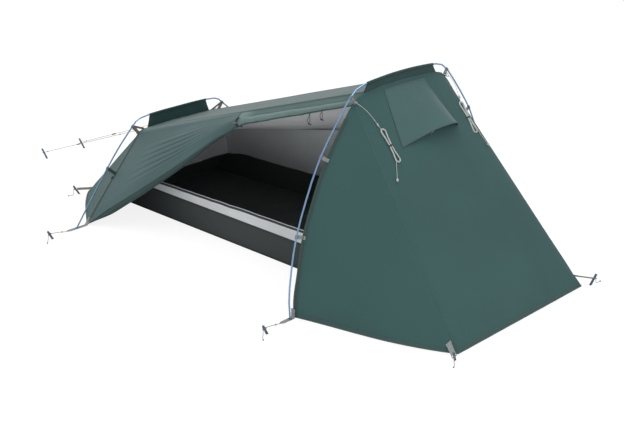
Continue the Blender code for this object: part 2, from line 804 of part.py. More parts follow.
def build_door():
    """Make the door: the flap drawn up from the foot hoop to the tie, and the roll beyond it."""
    steps_down, steps_along = 22, 12
    line = fly_profile(FOOT_HOOP)
    top = length_at_half_width(line, ROOF_HALF_WIDTH)
    leg = fly_line(FOOT_HOOP, 0.0, top, steps_down, -1)[::-1]
    gather_x = TIE_X - TIE_WIDTH
    crest = roof_edge(gather_x)
    rows = []
    for step in range(steps_along + 1):
        t = step / steps_along
        row = []
        for index, start in enumerate(leg):
            share = index / steps_down
            tucked = crest + Vector((0, -GATHER_DEPTH * share, -GATHER_DROP * share))
            point = start.lerp(tucked, t)
            swell = math.sin(math.pi * t) * FOLD_DEPTH * math.sin(2 * math.pi * FOLD_COUNT * share)
            fade = min(share / 0.12, 1.0) * min((1 - t) / 0.2, 1.0)
            sag = HEM_SAG * math.sin(math.pi * t) * share ** 2
            row.append(point + Vector((0, -0.75, 0.65)) * swell * fade + Vector((0, 0.2, -1)) * sag)
        rows.append(row)
    cloth("door_flap", rows, FLY_THICKNESS, (0, -1, 1), "fly_light")
    rows = []
    turn_steps = 26
    for step in range(6):
        x = gather_x + SEAM_GAP + (0.0 - 0.030 - gather_x) * step / 5
        edge = roof_edge(x)
        row = [edge + Vector((0, 0.0, -0.0002))]
        for turn in range(turn_steps + 1):
            angle = 2 * math.pi * ROLL_TURNS * turn / turn_steps
            centre, radius = roll_point(x, angle)
            row.append(centre + Vector((0, radius * math.cos(angle), -radius * math.sin(angle))))
        rows.append(row)
    cloth("door_roll", rows, FLY_THICKNESS, (0, 1, 0), "fly_light")


def build_tie():
    """Make the strap round the roll at the end of the flap, and the toggle that fastens it."""
    along = (roof_edge(0.0) - roof_edge(TIE_X)).normalized()
    cloth_side = FLY_THICKNESS + 2 * SEAT_GAP
    inner, outer = [], []
    for degrees in range(30, 301, 15):
        angle = math.radians(degrees)
        centre, radius = roll_point(TIE_X, angle)
        for ring, reach in ((inner, radius + cloth_side), (outer, radius + cloth_side + TIE_WALL)):
            ring.append((reach * math.cos(angle), reach * math.sin(angle)))
    frame = axes_matrix(centre, Vector((0, 1, 0)), Vector((0, 0, -1)), -along)
    flat_outline("door_tie", outer + inner[::-1], TIE_WIDTH, "webbing", frame)
    hold = centre + Vector((0, outer[10][0] - SEAT_GAP - TOGGLE_RADIUS, -outer[10][1]))
    half = along * TOGGLE_LENGTH / 2
    points = [hold - half, hold - half * 0.8, hold, hold + half * 0.8, hold + half]
    toggle = welded_cord("door_toggle", points, TOGGLE_RADIUS, "plastic", 2,
                         [0.6, 1.0, 0.85, 1.0, 0.6])
    set_origin(toggle, hold)


def build_door_slider():
    """Make the slider of the zip between the door and the foot end."""
    line = fly_profile(FOOT_HOOP)
    run = lengths_along(line)
    where = length_at_height(line, SLIDER_HEIGHT_ON_LEG)
    here, ahead = point_along(line, run, where), point_along(line, run, where + 0.01)
    seam = hoop_point(FOOT_HOOP, -here.x, here.y)
    along = (hoop_point(FOOT_HOOP, -ahead.x, ahead.y) - seam).normalized()
    out = Vector((0, -1, 0.9))
    out = (out - along * out.dot(along)).normalized()
    base = seam + out * (FLY_THICKNESS * 1.3 + SEAT_GAP)
    outline = [(-0.006, 0.0), (0.006, 0.0), (0.005, 0.004), (0.0015, 0.005), (0.0015, 0.0065),
               (-0.0015, 0.0065), (-0.0015, 0.005), (-0.005, 0.004)]
    frame = axes_matrix(base, out.cross(along), out, along)
    set_origin(flat_outline("door_zip_slider", outline, 0.014, "plastic", frame), base)


# Inner tent

def ceiling_point(x, near):
    """Return a point on the near or far edge of the inner tent's ceiling."""
    share = (x - CEILING_FOOT_X) / (CEILING_HEAD_X - CEILING_FOOT_X)
    if near:
        foot = fly_crown(FOOT_HOOP, ROOF_HALF_WIDTH, 6)
        head = fly_crown(HEAD_HOOP, ROOF_HALF_WIDTH, 6)
        inset = (ROOF_HALF_WIDTH + CEILING_NEAR_Y) / (foot[1].y - foot[0].y)
        start, end = foot[0].lerp(foot[1], inset), head[0].lerp(head[1], inset)
        under = start.lerp(end, (x - start.x) / (end.x - start.x))
        return Vector((x, CEILING_NEAR_Y, under.z - INNER_THICKNESS * 1.1 - SEAT_GAP))
    return Vector((x, CEILING_FAR_Y, CREASE_Z_AT_FOOT + (CREASE_Z_AT_HEAD - CREASE_Z_AT_FOOT) * share))


def tub_far_y(x):
    """Return the far wall's place at a station along the tub."""
    share = (x - TUB_FOOT_X) / (TUB_HEAD_X - TUB_FOOT_X)
    return TUB_FAR_Y_AT_FOOT + (TUB_FAR_Y_AT_HEAD - TUB_FAR_Y_AT_FOOT) * share


def sill_height(x):
    """Return the height of the sill's top edge at a station."""
    share = (x - TUB_FOOT_X) / (TUB_HEAD_X - TUB_FOOT_X)
    return TUB_WALL + SILL_AT_FOOT + (SILL_AT_HEAD - SILL_AT_FOOT) * share


def build_inner():
    """Make the bathtub floor, the sill of the inner door, and the ceiling and walls."""
    foot_top = TUB_FOOT_X + TUB_FOOT_LEAN
    maker = bmesh.new()
    bmesh.ops.create_cube(maker, size=2.0)
    for vert in maker.verts:
        at_head, is_far, is_high = (share > 0 for share in vert.co)
        x = TUB_HEAD_X if at_head else (foot_top if is_high else TUB_FOOT_X)
        vert.co = (x, tub_far_y(x) if is_far else TUB_NEAR_Y, TUB_WALL if is_high else 0.0)
    lid = [face for face in maker.faces if all(vert.co.z > 0 for vert in face.verts)]
    bmesh.ops.delete(maker, geom=lid, context="FACES_ONLY")
    tub = mesh_object("inner_tub", maker, "tub")
    wall = tub.modifiers.new("thickness", "SOLIDIFY")
    wall.thickness = FLY_THICKNESS
    wall.offset = -1.0
    wall.use_even_offset = True
    seat = TUB_WALL + SEAT_GAP
    near_foot = Vector((foot_top, TUB_NEAR_Y + INNER_THICKNESS, seat))
    near_head = Vector((TUB_HEAD_X, TUB_NEAR_Y + INNER_THICKNESS, seat))
    far_foot = Vector((foot_top, tub_far_y(foot_top), seat))
    far_head = Vector((TUB_HEAD_X, TUB_FAR_Y_AT_HEAD, seat))
    inset = Vector((INNER_THICKNESS, 0, 0))
    low = mix(near_foot + inset, near_head - inset, 4)
    high = [Vector((p.x, p.y, sill_height(p.x))) for p in low]
    cloth("inner_sill", [low, high], INNER_THICKNESS, (0, -1, 0), "sill")
    near_line = [ceiling_point(x, True) for x in (CEILING_FOOT_X, CEILING_HEAD_X)]
    far_line = [ceiling_point(x, False) for x in (CEILING_FOOT_X, CEILING_HEAD_X)]
    near_edge, far_edge = mix(*near_line, 8), mix(*far_line, 8)
    sag = Vector((0, 0, -0.030))
    cloth("inner_ceiling", ruled(near_edge, far_edge, 6, lambda t, u: sag * math.sin(math.pi * t)),
          INNER_THICKNESS, (0, 0, 1), "inner")
    step = Vector((0, -INNER_THICKNESS, 0))
    shift = Vector((INNER_THICKNESS, 0, 0))
    base = mix(far_foot + shift + step, far_head - shift + step, 8)
    cloth("inner_far_wall", ruled(far_edge, base, 4), INNER_THICKNESS, (0, 1, 0.2), "inner")
    foot_top_edge = ruled(near_edge, far_edge, 6, lambda t, u: sag * math.sin(math.pi * t))
    foot_high = [row[0] for row in foot_top_edge]
    foot_low = mix(near_foot + shift, far_foot + shift + step, 6)
    cloth("inner_foot_wall", ruled(foot_high, foot_low, 3), INNER_THICKNESS, (-1, 0, 0.2), "inner")
    head_high = [row[-1] for row in foot_top_edge]
    head_low = mix(near_head - shift, far_head - shift + step, 6)
    cloth("inner_head_wall", ruled(head_high, head_low, 3), INNER_THICKNESS, (1, 0, 0.2), "inner")
    build_inner_slider()


def build_inner_slider():
    """Make the slider of the inner door's zip, on the sill's outer face at its top edge."""
    rise = (SILL_AT_HEAD - SILL_AT_FOOT) / (TUB_HEAD_X - TUB_FOOT_X)
    along = Vector((1, 0, rise)).normalized()
    out = Vector((0, -1, 0))
    base = Vector((INNER_SLIDER_X, TUB_NEAR_Y - SEAT_GAP, sill_height(INNER_SLIDER_X) - 0.008))
    outline = [(-0.005, 0.0), (0.005, 0.0), (0.004, 0.0035), (0.0012, 0.0045), (0.0012, 0.006),
               (-0.0012, 0.006), (-0.0012, 0.0045), (-0.004, 0.0035)]
    frame = axes_matrix(base, out.cross(along), out, along)
    set_origin(flat_outline("inner_zip_slider", outline, 0.012, "plastic", frame), base)


# Pegs, straps and cords

def peg_axis(way, lean):
    """Return the direction of a peg that leans a given way from upright."""
    return Vector((way.x * math.sin(lean), way.y * math.sin(lean), math.cos(lean)))


def build_peg(name, base, way, lean):
    """Make the part of a three-finned peg that stands above the ground."""
    axis = peg_axis(way, lean)
    side = Vector((0, 0, 1)).cross(way).normalized()
    front = side.cross(axis).normalized()
    if front.dot(way) < 0:
        front = -front
    outline = []
    half = PEG_FIN / 2
    for fin in range(3):
        angle = math.radians(120 * fin)
        out = Vector((math.cos(angle), math.sin(angle)))
        across = Vector((-out.y, out.x))
        notch = math.radians(120 * fin + 60)
        outline.append(out * PEG_RADIUS - across * half)
        outline.append(out * PEG_RADIUS + across * half)
        outline.append(Vector((math.cos(notch), math.sin(notch))) * PEG_FIN * 0.75)
    frame = axes_matrix(base, front, axis.cross(front), axis)
    peg = flat_outline(name, outline, 2 * PEG_SHOW / axis.z, "peg", frame)
    maker = bmesh.new()
    maker.from_mesh(peg.data)
    whole = maker.verts[:] + maker.edges[:] + maker.faces[:]
    bmesh.ops.bisect_plane(maker, geom=whole, plane_co=(0, 0, 0), plane_no=(0, 0, 1), clear_inner=True)
    rim = [edge for edge in maker.edges if edge.is_boundary]
    bmesh.ops.contextual_create(maker, geom=rim)
    bmesh.ops.recalc_face_normals(maker, faces=maker.faces)
    maker.to_mesh(peg.data)
    maker.free()
    return axis


def peg_loop(base, axis, travel, cord_radius):
    """Return the points of a cord's loop round a peg, entered along the travel direction."""
    centre = base + axis * (PEG_LOOP_HEIGHT / axis.z)
    ahead = (travel - axis * travel.dot(axis)).normalized()
    side = ahead.cross(axis).normalized()
    radius = PEG_RADIUS + cord_radius + 0.0008
    points = []
    for step in range(10):
        angle = math.radians(33 * step)
        points.append(centre + side * radius * math.cos(angle) + ahead * radius * math.sin(angle))
    return points


def build_hoop_feet(hoop):
    """Make the strap under each pole foot, its cord loop and the peg that holds it."""
    end = hoop.name.split("_")[0]
    hem = fly_profile(hoop)[0].x + FLY_THICKNESS + 2 * SEAT_GAP
    level = STRAP_LIFT + STRAP_THICKNESS / 2
    for label, side in (("near", -1), ("far", 1)):
        outer = hoop.half_width + STRAP_REACH - 0.02
        half = STRAP_WIDTH / 2
        outline = [(-half, side * hem), (half, side * hem), (half, side * (outer - 0.012)),
                   (0.006, side * outer), (-0.006, side * outer), (-half, side * (outer - 0.012))]
        place = Matrix.Translation(Vector((hoop.x, 0, level)))
        strap = flat_outline(f"{end}_strap_{label}", outline, STRAP_THICKNESS, "webbing", place)
        base = Vector((hoop.x + HOOP_PEG_STEP, side * (hoop.half_width + HOOP_PEG_REACH), 0))
        way = Vector((0.15, side, 0)).normalized()
        axis = build_peg(f"{end}_peg_{label}", base, way, PEG_LEAN)
        start = Vector((hoop.x, side * (outer - 0.008), level))
        travel = (base - start).normalized()
        loop = peg_loop(base, axis, travel, STRAP_CORD_RADIUS)
        run = [start, start.lerp(loop[0], 0.12), start.lerp(loop[0], 0.55)]
        run[1].z = level + 0.002
        line = smooth_path(run + loop[:1], 2) + loop[1:]
        bar = welded_cord("loop", line, STRAP_CORD_RADIUS, "webbing", 1)
        combine(strap, bar, "UNION", "webbing")


def build_corner_tabs():
    """Join a webbing tab to the side panels at each pegged corner, and peg it."""
    for end, end_way in (("head", 1), ("foot", -1)):
        for label, side in (("near", -1), ("far", 1)):
            rows = side_rows(HEAD_HOOP if end == "head" else FOOT_HOOP, end, side, 10, 5)
            place = rows[-1][0]
            at_crease = place + (rows[-1][1] - place).normalized() * CORNER_TAB_RISE
            inward_edge = rows[-2][0]
            beside = inward_edge + (rows[-2][1] - inward_edge).normalized() * CORNER_TAB_RISE
            out = (beside - at_crease).cross(at_crease - place).normalized()
            if out.y * side < 0:
                out = -out
            base = Vector((place.x, place.y, 0))
            way = Vector((end_way * 0.38, side * 0.93, 0)).normalized()
            base += way * CORNER_PEG_REACH
            axis = build_peg(f"{end}_corner_peg_{label}", base, way, PEG_LEAN)
            centre = base + axis * (PEG_LOOP_HEIGHT / axis.z)
            start = at_crease + (beside - at_crease).normalized() * CORNER_TAB_SHIFT
            start += out * FLY_THICKNESS * 0.5
            along = centre - start
            reach = along.length
            along.normalize()
            across = out.cross(along).normalized()
            normal = along.cross(across)
            half = STRAP_WIDTH / 2
            hole = arc(PEG_RADIUS + 0.0038, 0, 330, 11, (reach - 0.0025, 0.0))
            outline = [(0, -half), (reach + 0.014, -half), (reach + 0.014, half), (0, half)]
            frame = axes_matrix(start, along, across, normal)
            tab = flat_outline("tab", outline, STRAP_THICKNESS, "webbing", frame, (hole,))
            panel = baked(bpy.data.objects[f"fly_{end}_{label}"], "fly")
            combine(panel, tab, "UNION", "fly")


def guy_base(side):
    """Return where a foot guyline's peg enters the ground."""
    return Vector((GUY_PEG_X, GUY_PEG_SHIFT + side * GUY_PEG_SPREAD, 0))


def build_guylines():
    """Make the two taut guylines at the foot, their adjusters and their pegs."""
    for label, side, share in (("near", -1, NEAR_ADJUSTER_SHARE), ("far", 1, FAR_ADJUSTER_SHARE)):
        origin, across, _ = clip_frame(FOOT_HOOP, side, FOOT_HOOP.near_clips[0][1])
        start = origin + across * FOOT_HOOP.hang * GUY_START_SHARE
        start += Vector((-(WEBBING_THICKNESS / 2 + GUY_RADIUS + SEAT_GAP), 0, 0))
        base = guy_base(side)
        axis = build_peg(f"guy_peg_{label}", base, Vector((-1, 0, 0)), GUY_PEG_LEAN)
        travel = (base + axis * PEG_LOOP_HEIGHT - start).normalized()
        loop = peg_loop(base, axis, travel, GUY_RADIUS)
        line = [start - across * 0.014, *mix(start, loop[0], 5), *loop[1:]]
        cord(f"foot_guyline_{label}", line, GUY_RADIUS, "cord")
        run = (loop[0] - start).normalized()
        middle = start.lerp(loop[0], share)
        wide = run.cross(Vector((0, 0, 1))).normalized()
        frame = axes_matrix(middle, wide, run.cross(wide), run)
        bore = GUY_RADIUS + ADJUSTER_CLEARANCE
        outline = arc(ADJUSTER_RADIUS * 0.7, -90, 90, 5, (ADJUSTER_RADIUS * 0.6, 0.0))
        outline += arc(ADJUSTER_RADIUS * 0.7, 90, 270, 5, (-ADJUSTER_RADIUS * 0.6, 0.0))
        adjuster = flat_outline(f"guy_adjuster_{label}", outline, ADJUSTER_LENGTH, "plastic", frame,
                                (arc(bore, 0, 315, 7),))
        set_origin(adjuster, middle)


def hank_turn():
    """Return one innermost turn of a hank as (up, across) points with their outward normals."""
    reach = HANK_HALF_LENGTH - HANK_LOBE
    turn = []
    for end in (1, -1):
        for step in range(HANK_CAP_STEPS):
            angle = math.pi * (step / HANK_CAP_STEPS - 0.5)
            out = Vector((math.cos(angle), math.sin(angle))) * end
            turn.append((Vector((reach * end, 0)) + out * HANK_LOBE, out))
        for step in range(HANK_SIDE_STEPS):
            share = step / HANK_SIDE_STEPS
            half = HANK_LOBE - (HANK_LOBE - HANK_WAIST) * math.sin(math.pi * share)
            turn.append((Vector((reach * (1 - 2 * share), half)) * end, Vector((0, end))))
    quarter = HANK_CAP_STEPS // 2
    return turn[quarter:] + turn[:quarter]


def hank_points():
    """Return the wound part of a hank as (up, across, height): in on one layer, out on the next."""
    turn = hank_turn()
    count = round((HANK_TURNS_IN + HANK_TURNS_OUT) * len(turn))
    points = []
    for step in range(count + 1):
        done = step / len(turn)
        out = HANK_PITCH * abs(HANK_TURNS_IN - done)
        climb = min(max((done - HANK_TURNS_IN + 0.06) / 0.24, 0.0), 1.0)
        climb = climb * climb * (3 - 2 * climb)
        place, normal = turn[(step + 1) % len(turn)]
        flat = place + normal * out
        points.append(Vector((flat.x, flat.y, HANK_PITCH * climb)))
    return points


def least_gap(line, radius):
    """Return the least gap between two stretches of a cord that are not next to each other."""
    samples = []
    for start, end in zip(line, line[1:]):
        count = max(1, round((end - start).length / GAP_SAMPLE_STEP))
        samples += [start.lerp(end, i / count) for i in range(count)]
    tree = KDTree(len(samples))
    for index, point in enumerate(samples):
        tree.insert(point, index)
    tree.balance()
    apart = round(6 * radius / GAP_SAMPLE_STEP)
    least = 4 * radius
    for index, point in enumerate(samples):
        for _, other, distance in tree.find_range(point, least):
            if abs(other - index) > apart:
                least = min(least, distance)
    return least - 2 * radius


def build_hank(label, side, y):
    """Make a stowed head guyline: a cord from the shoulder clip, its hank and its toggle bead."""
    rest = FLY_THICKNESS + HANK_CORD_RADIUS + 2 * SEAT_GAP
    centre, normal, down = head_end_frame(y, HANK_CENTRE_DROP)
    up = -down
    across = Vector((0, side, 0))
    across = (across - up * across.dot(up)).normalized()

    def place(point):
        return centre + up * point.x + across * point.y + normal * (rest + point.z)

    wound = [place(point) for point in hank_points()]
    origin, to_fly, _ = clip_frame(HEAD_HOOP, side, HEAD_HOOP.near_clips[0][1])
    start = origin + to_fly * HEAD_HOOP.hang * 0.45
    start += Vector((WEBBING_THICKNESS / 2 + HANK_CORD_RADIUS + SEAT_GAP, 0, 0))
    high = place(Vector((HANK_HALF_LENGTH + 0.045, HANK_LOBE + 0.006, 0.002)))
    mid = start.lerp(high, 0.5) + normal * 0.012
    first = start + Vector((0.010, 0, -0.004))
    link = smooth_path([start, first, mid, high, wound[0]], 4)
    last = wound[-1]
    leave = (wound[-1] - wound[-2]).normalized()
    ends = []
    for share in (0.35, 0.7, 1.0):
        drift = centre + up * (-HANK_HALF_LENGTH - TAIL_LENGTH * share)
        drift += across * (HANK_LOBE + HANK_PITCH * HANK_TURNS_OUT + TAIL_DRIFT * share)
        lift = rest + (TOGGLE_BEAD_RADIUS - HANK_CORD_RADIUS) * share
        ends.append(drift + normal * lift)
    tail = smooth_path([last, last + leave * 0.010, *ends], 2)
    bead_run = (tail[-1] - tail[-2]).normalized()
    bead = [tail[-1] + bead_run * d for d in (0.001, 0.004, 0.013, 0.016)]
    swell = TOGGLE_BEAD_RADIUS / HANK_CORD_RADIUS
    line = link[:-1] + wound + tail[1:] + bead
    radii = [1.0] * (len(line) - 4) + [swell * 0.75, swell, swell, swell * 0.6]
    cord(f"head_guyline_hank_{label}", line, HANK_CORD_RADIUS, "cord", 1, True, radii)
    gap = least_gap(line[:-4], HANK_CORD_RADIUS)
    length = lengths_along(line)[-1]
    print(f"head_guyline_hank_{label}: {length:.3f} m of cord, least gap {gap * 1000:.2f} mm")


def main():
    """Build the whole tent."""
    clear_scene()
    tent = bpy.data.collections.new("tent")
    bpy.context.scene.collection.children.link(tent)
    for hoop in (HEAD_HOOP, FOOT_HOOP):
        build_poles(hoop)
        build_sleeve(hoop)
        build_clips(hoop)
        build_hoop_feet(hoop)
    build_fly()
    build_corner_tabs()
    build_hood()
    build_door()
    build_tie()
    build_door_slider()
    build_inner()
    build_guylines()
    build_hank("near", -1, NEAR_HANK_Y)
    build_hank("far", 1, FAR_HANK_Y)


main()
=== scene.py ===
"""Looks of a low one-person tent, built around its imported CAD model.

The cloth is rebuilt as thin curved sheets with seams, hems and folds, and the cords as cords of
a real length. Poles, clips, pegs, sliders and adjusters keep their CAD shape under new finishes.
Metres, +Z up, +X towards the sleeper's head, +Y towards the far side, away from the door.
"""

import logging
import math
from collections.abc import Callable, Sequence
from dataclasses import dataclass
from enum import Enum
from functools import cache

import bpy
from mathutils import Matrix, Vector, noise
from mathutils.bvhtree import BVHTree


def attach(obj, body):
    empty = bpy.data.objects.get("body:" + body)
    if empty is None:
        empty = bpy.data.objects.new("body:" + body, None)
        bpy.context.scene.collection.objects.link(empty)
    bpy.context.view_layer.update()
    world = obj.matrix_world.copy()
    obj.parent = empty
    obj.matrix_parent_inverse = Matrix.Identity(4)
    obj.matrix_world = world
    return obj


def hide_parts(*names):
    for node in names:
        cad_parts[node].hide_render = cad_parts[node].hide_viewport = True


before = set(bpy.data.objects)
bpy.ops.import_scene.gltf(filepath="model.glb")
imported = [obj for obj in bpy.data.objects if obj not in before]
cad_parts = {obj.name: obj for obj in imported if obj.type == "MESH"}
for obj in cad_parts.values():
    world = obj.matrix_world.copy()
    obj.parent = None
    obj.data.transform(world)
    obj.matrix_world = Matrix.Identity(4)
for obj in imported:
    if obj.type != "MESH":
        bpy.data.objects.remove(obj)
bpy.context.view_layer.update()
LOG = logging.getLogger("tent")
TENT = "tent"
UP = Vector((0.0, 0.0, 1.0))
FORTH = Vector((1.0, 0.0, 0.0))
ACROSS = Vector((0.0, 1.0, 0.0))
DOORWARDS = -ACROSS
SIDES = (("near", -1), ("far", 1))

Line = list[Vector]
Rows = list[Line]
Colour = tuple[float, float, float]
Piece = bpy.types.Object


# Curves and lengths

def smooth_path(points: Sequence[Vector], steps: int) -> Line:
    """Pass a Catmull-Rom curve through some points.

    Args:
        points: The route's own points.
        steps: How many steps lie between two of them.

    Returns:
        The curve's points.
    """
    padded = [points[0] * 2 - points[1], *points, points[-1] * 2 - points[-2]]
    path = []
    for before, start, end, after in zip(padded, padded[1:], padded[2:], padded[3:]):
        for step in range(steps):
            t = step / steps
            path.append(0.5 * (2 * start + (end - before) * t
                               + (2 * before - 5 * start + 4 * end - after) * t * t
                               + (3 * start - before - 3 * end + after) * t * t * t))
    return path + [points[-1].copy()]


def running(path: Sequence[Vector]) -> list[float]:
    """Measure a path.

    Args:
        path: Its points.

    Returns:
        The running length at each point.
    """
    run = [0.0]
    for start, end in zip(path, path[1:]):
        run.append(run[-1] + (end - start).length)
    return run


def stretch(path: Sequence[Vector], start: float, end: float, count: int) -> Line:
    """Cut a stretch out of a path and space its points evenly.

    Args:
        path: The path's points.
        start: The running length where the stretch starts.
        end: Where it ends.
        count: How many steps it gets.

    Returns:
        The stretch's points.
    """
    run = running(path)
    points = []
    index = 0
    for step in range(count + 1):
        goal = min(max(start + (end - start) * step / count, 0.0), run[-1])
        while index < len(path) - 2 and run[index + 1] < goal:
            index += 1
        while index > 0 and run[index] > goal:
            index -= 1
        length = run[index + 1] - run[index]
        share = (goal - run[index]) / length if length else 0.0
        points.append(path[index].lerp(path[index + 1], share))
    return points


def mix(start: Vector, end: Vector, count: int) -> Line:
    """Return count + 1 points on a straight line."""
    return [start.lerp(end, i / count) for i in range(count + 1)]


def ease(low: float, high: float, value: float) -> float:
    """Return a smooth step from 0 at low to 1 at high."""
    t = min(max((value - low) / (high - low), 0.0), 1.0)
    return t * t * (3 - 2 * t)


def ruled(edge_a: Line, edge_b: Line, steps: int,
          bow: Callable[[float, float], Vector] | None = None) -> Rows:
    """Rule a sheet from one edge to the other.

    Args:
        edge_a: The first row.
        edge_b: The last row, with as many points.
        steps: How many steps lie between them.
        bow: An offset for the shares across and along the rows.

    Returns:
        The rows.
    """
    last = len(edge_a) - 1
    rows = []
    for step in range(steps + 1):
        t = step / steps
        row = [a.lerp(b, t) for a, b in zip(edge_a, edge_b)]
        if bow:
            row = [point + bow(t, i / last) for i, point in enumerate(row)]
        rows.append(row)
    return rows


# The tent's own lines, as the CAD draws them

HEM_LIFT = 0.004
ROOF_HALF_WIDTH = 0.235
HEAD_SHOULDER = 0.946
FOOT_SHOULDER = 0.9156


@dataclass(frozen=True)
class Hoop:
    """One bent pole and the flysheet's line that hangs inside it.

    The outline pairs are shares of the half width and of the height.
    """

    name: str
    x: float
    lean: float
    half_width: float
    height: float
    shape: tuple[tuple[float, float], ...]
    hang: float
    hang_at_ground: float
    sleeve_half: float
    shoulder_half: float
    corner: tuple[float, float]
    hem_bow: float

    def point(self, y: float, z: float) -> Vector:
        """Place a point of the hoop's own plane, which leans towards the foot."""
        return Vector((self.x - self.lean * z, y, z))

    def half_profile(self) -> Line:
        """Return the far half of the pole's line as (y, z), from its foot to the crown."""
        corners = [Vector((y * self.half_width, z * self.height)) for y, z in self.shape]
        return smooth_path(corners + [Vector((-corners[-2].x, corners[-2].y))], 8)[:-8]

    def inward(self, z: float) -> Vector:
        """Return the direction from the pole to the flysheet at a height."""
        turn = 0.5 * math.pi * min(max(z / self.height, 0.0), 1.0) ** 2
        return Vector((-math.cos(turn), -math.sin(turn)))

    def fly_profile(self) -> Line:
        """Return the far half of the flysheet's line under the hoop, hem to crown.

        Returns:
            The points in the hoop's plane.
        """
        line = []
        for point in self.half_profile():
            rise = min(max(point.y / (0.2 * self.height), 0.0), 1.0)
            hang = self.hang_at_ground + (self.hang - self.hang_at_ground) * rise
            line.append(point + self.inward(point.y) * hang)
        line = [point for point in line if point.x >= 0.0]
        line.append(Vector((0.0, line[-1].y)))
        first = next(i for i, point in enumerate(line) if point.y > HEM_LIFT)
        if first:
            below, above = line[first - 1], line[first]
            share = (HEM_LIFT - below.y) / (above.y - below.y)
            line = [below.lerp(above, share)] + line[first:]
        return line

    def length_at(self, half_width: float) -> float:
        """Return the running length where the flysheet's line comes in to a half width.

        Args:
            half_width: The line's distance from the middle.

        Returns:
            The running length from the hem.
        """
        line = self.fly_profile()
        run = running(line)
        for i in range(len(line) - 2, -1, -1):
            if line[i].x >= half_width:
                share = (half_width - line[i + 1].x) / (line[i].x - line[i + 1].x)
                return run[i + 1] + (run[i] - run[i + 1]) * share
        return 0.0

    def fly_line(self, start: float, end: float, count: int, side: int) -> Line:
        """Return the flysheet's line on one side between two running lengths."""
        return [self.point(side * p.x, p.y) for p in stretch(self.fly_profile(), start, end, count)]

    def fly_crown(self, half_width: float, count: int) -> Line:
        """Return the flysheet's crown line from the near side to the far side.

        Args:
            half_width: How far it reaches from the middle.
            count: Its number of steps.

        Returns:
            The points.
        """
        line = self.fly_profile()
        half = stretch(line, self.length_at(half_width), running(line)[-1], count // 2)
        near = [self.point(-p.x, p.y) for p in half]
        return near + [self.point(p.x, p.y) for p in reversed(half[:-1])]

    def corner_point(self, side: int) -> Vector:
        """Return the pegged corner of the flysheet on one side of this hoop's end."""
        return Vector((self.corner[0], side * self.corner[1], HEM_LIFT))

    def pole_at(self, side: int, share: float) -> tuple[Vector, Vector, Vector]:
        """Find a place on the pole.

        Args:
            side: -1 near and 1 far.
            share: The place's share of the pole's height.

        Returns:
            The point, the way to the flysheet and the way up the pole.
        """
        line = self.half_profile()
        height = share * self.height
        i = next(i for i in range(len(line) - 1) if line[i + 1].y > height)
        here = line[i].lerp(line[i + 1], (height - line[i].y) / (line[i + 1].y - line[i].y))
        way = self.inward(here.y)
        origin = self.point(side * here.x, here.y)
        along = self.point(side * line[i + 1].x, line[i + 1].y) - self.point(side * line[i].x, line[i].y)
        along.normalize()
        across = self.point(side * (here.x + way.x), here.y + way.y) - origin
        return origin, (across - along * across.dot(along)).normalized(), along


HOOP_SPACING = 1.656
HEAD = Hoop(
    name="head", x=0.0, lean=0.0, half_width=0.765, height=1.055,
    shape=((1.0, 0.0), (1.006, 0.13), (0.952, 0.355), (0.856, 0.541), (0.730, 0.716),
           (0.533, 0.897), (0.455, 0.953), (0.375, 0.984), (0.170, 0.997), (0.0, 1.0)),
    hang=0.042, hang_at_ground=0.022, sleeve_half=0.245, shoulder_half=0.335,
    corner=(0.790, 0.500), hem_bow=0.030)
FOOT = Hoop(
    name="foot", x=-HOOP_SPACING, lean=0.044, half_width=0.785, height=0.533,
    shape=((1.0, 0.0), (0.888, 0.20), (0.738, 0.46), (0.586, 0.709),
           (0.440, 0.910), (0.365, 0.982), (0.200, 0.998), (0.0, 1.0)),
    hang=0.072, hang_at_ground=0.066, sleeve_half=0.213, shoulder_half=0.280,
    corner=(-2.075, 0.395), hem_bow=0.012)


def roof_edge(x: float) -> Vector:
    """Return the near edge of the roof at a station along the tent."""
    foot, head = (hoop.fly_crown(ROOF_HALF_WIDTH, 6)[0] for hoop in (FOOT, HEAD))
    return foot.lerp(head, (x - foot.x) / (head.x - foot.x))


# Materials

GREY = (70, 76, 78)
WHITE = (1.0, 1.0, 1.0, 1.0)


class Value:
    """A socket in a tree of nodes that takes part in Python arithmetic."""

    def __init__(self, nodes: "Nodes", socket: bpy.types.NodeSocket) -> None:
        """Keep the socket and the maker of its node."""
        self.nodes = nodes
        self.socket = socket

    def math(self, operation: str, first: object, second: object = 0.0) -> "Value":
        """Add a Math node on two operands and return its result."""
        node = self.nodes.node("ShaderNodeMath", {"operation": operation}, {0: first, 1: second})
        return Value(self.nodes, node.outputs[0])

    def __add__(self, other: "Value | float") -> "Value":
        """Add."""
        return self.math("ADD", self, other)

    def __sub__(self, other: "Value | float") -> "Value":
        """Subtract."""
        return self.math("SUBTRACT", self, other)

    def __rsub__(self, other: float) -> "Value":
        """Subtract from a number."""
        return self.math("SUBTRACT", other, self)

    def __mul__(self, other: "Value | float") -> "Value":
        """Multiply."""
        return self.math("MULTIPLY", self, other)

    def __truediv__(self, other: float) -> "Value":
        """Divide."""
        return self.math("DIVIDE", self, other)

    def fraction(self) -> "Value":
        """Keep what follows the point."""
        return self.math("FRACT", self)

    def absolute(self) -> "Value":
        """Drop the sign."""
        return self.math("ABSOLUTE", self)

    def larger(self, other: object) -> "Value":
        """Return the larger of two."""
        return self.math("MAXIMUM", self, other)

    def step(self, low: float, high: float) -> "Value":
        """Return a smooth step from 0 at low to 1 at high.

        Args:
            low: Where it starts.
            high: Where it ends.

        Returns:
            The step.
        """
        node = self.nodes.node("ShaderNodeMapRange", {"interpolation_type": "SMOOTHSTEP"},
                               {"Value": self, "From Min": low, "From Max": high})
        return Value(self.nodes, node.outputs["Result"])


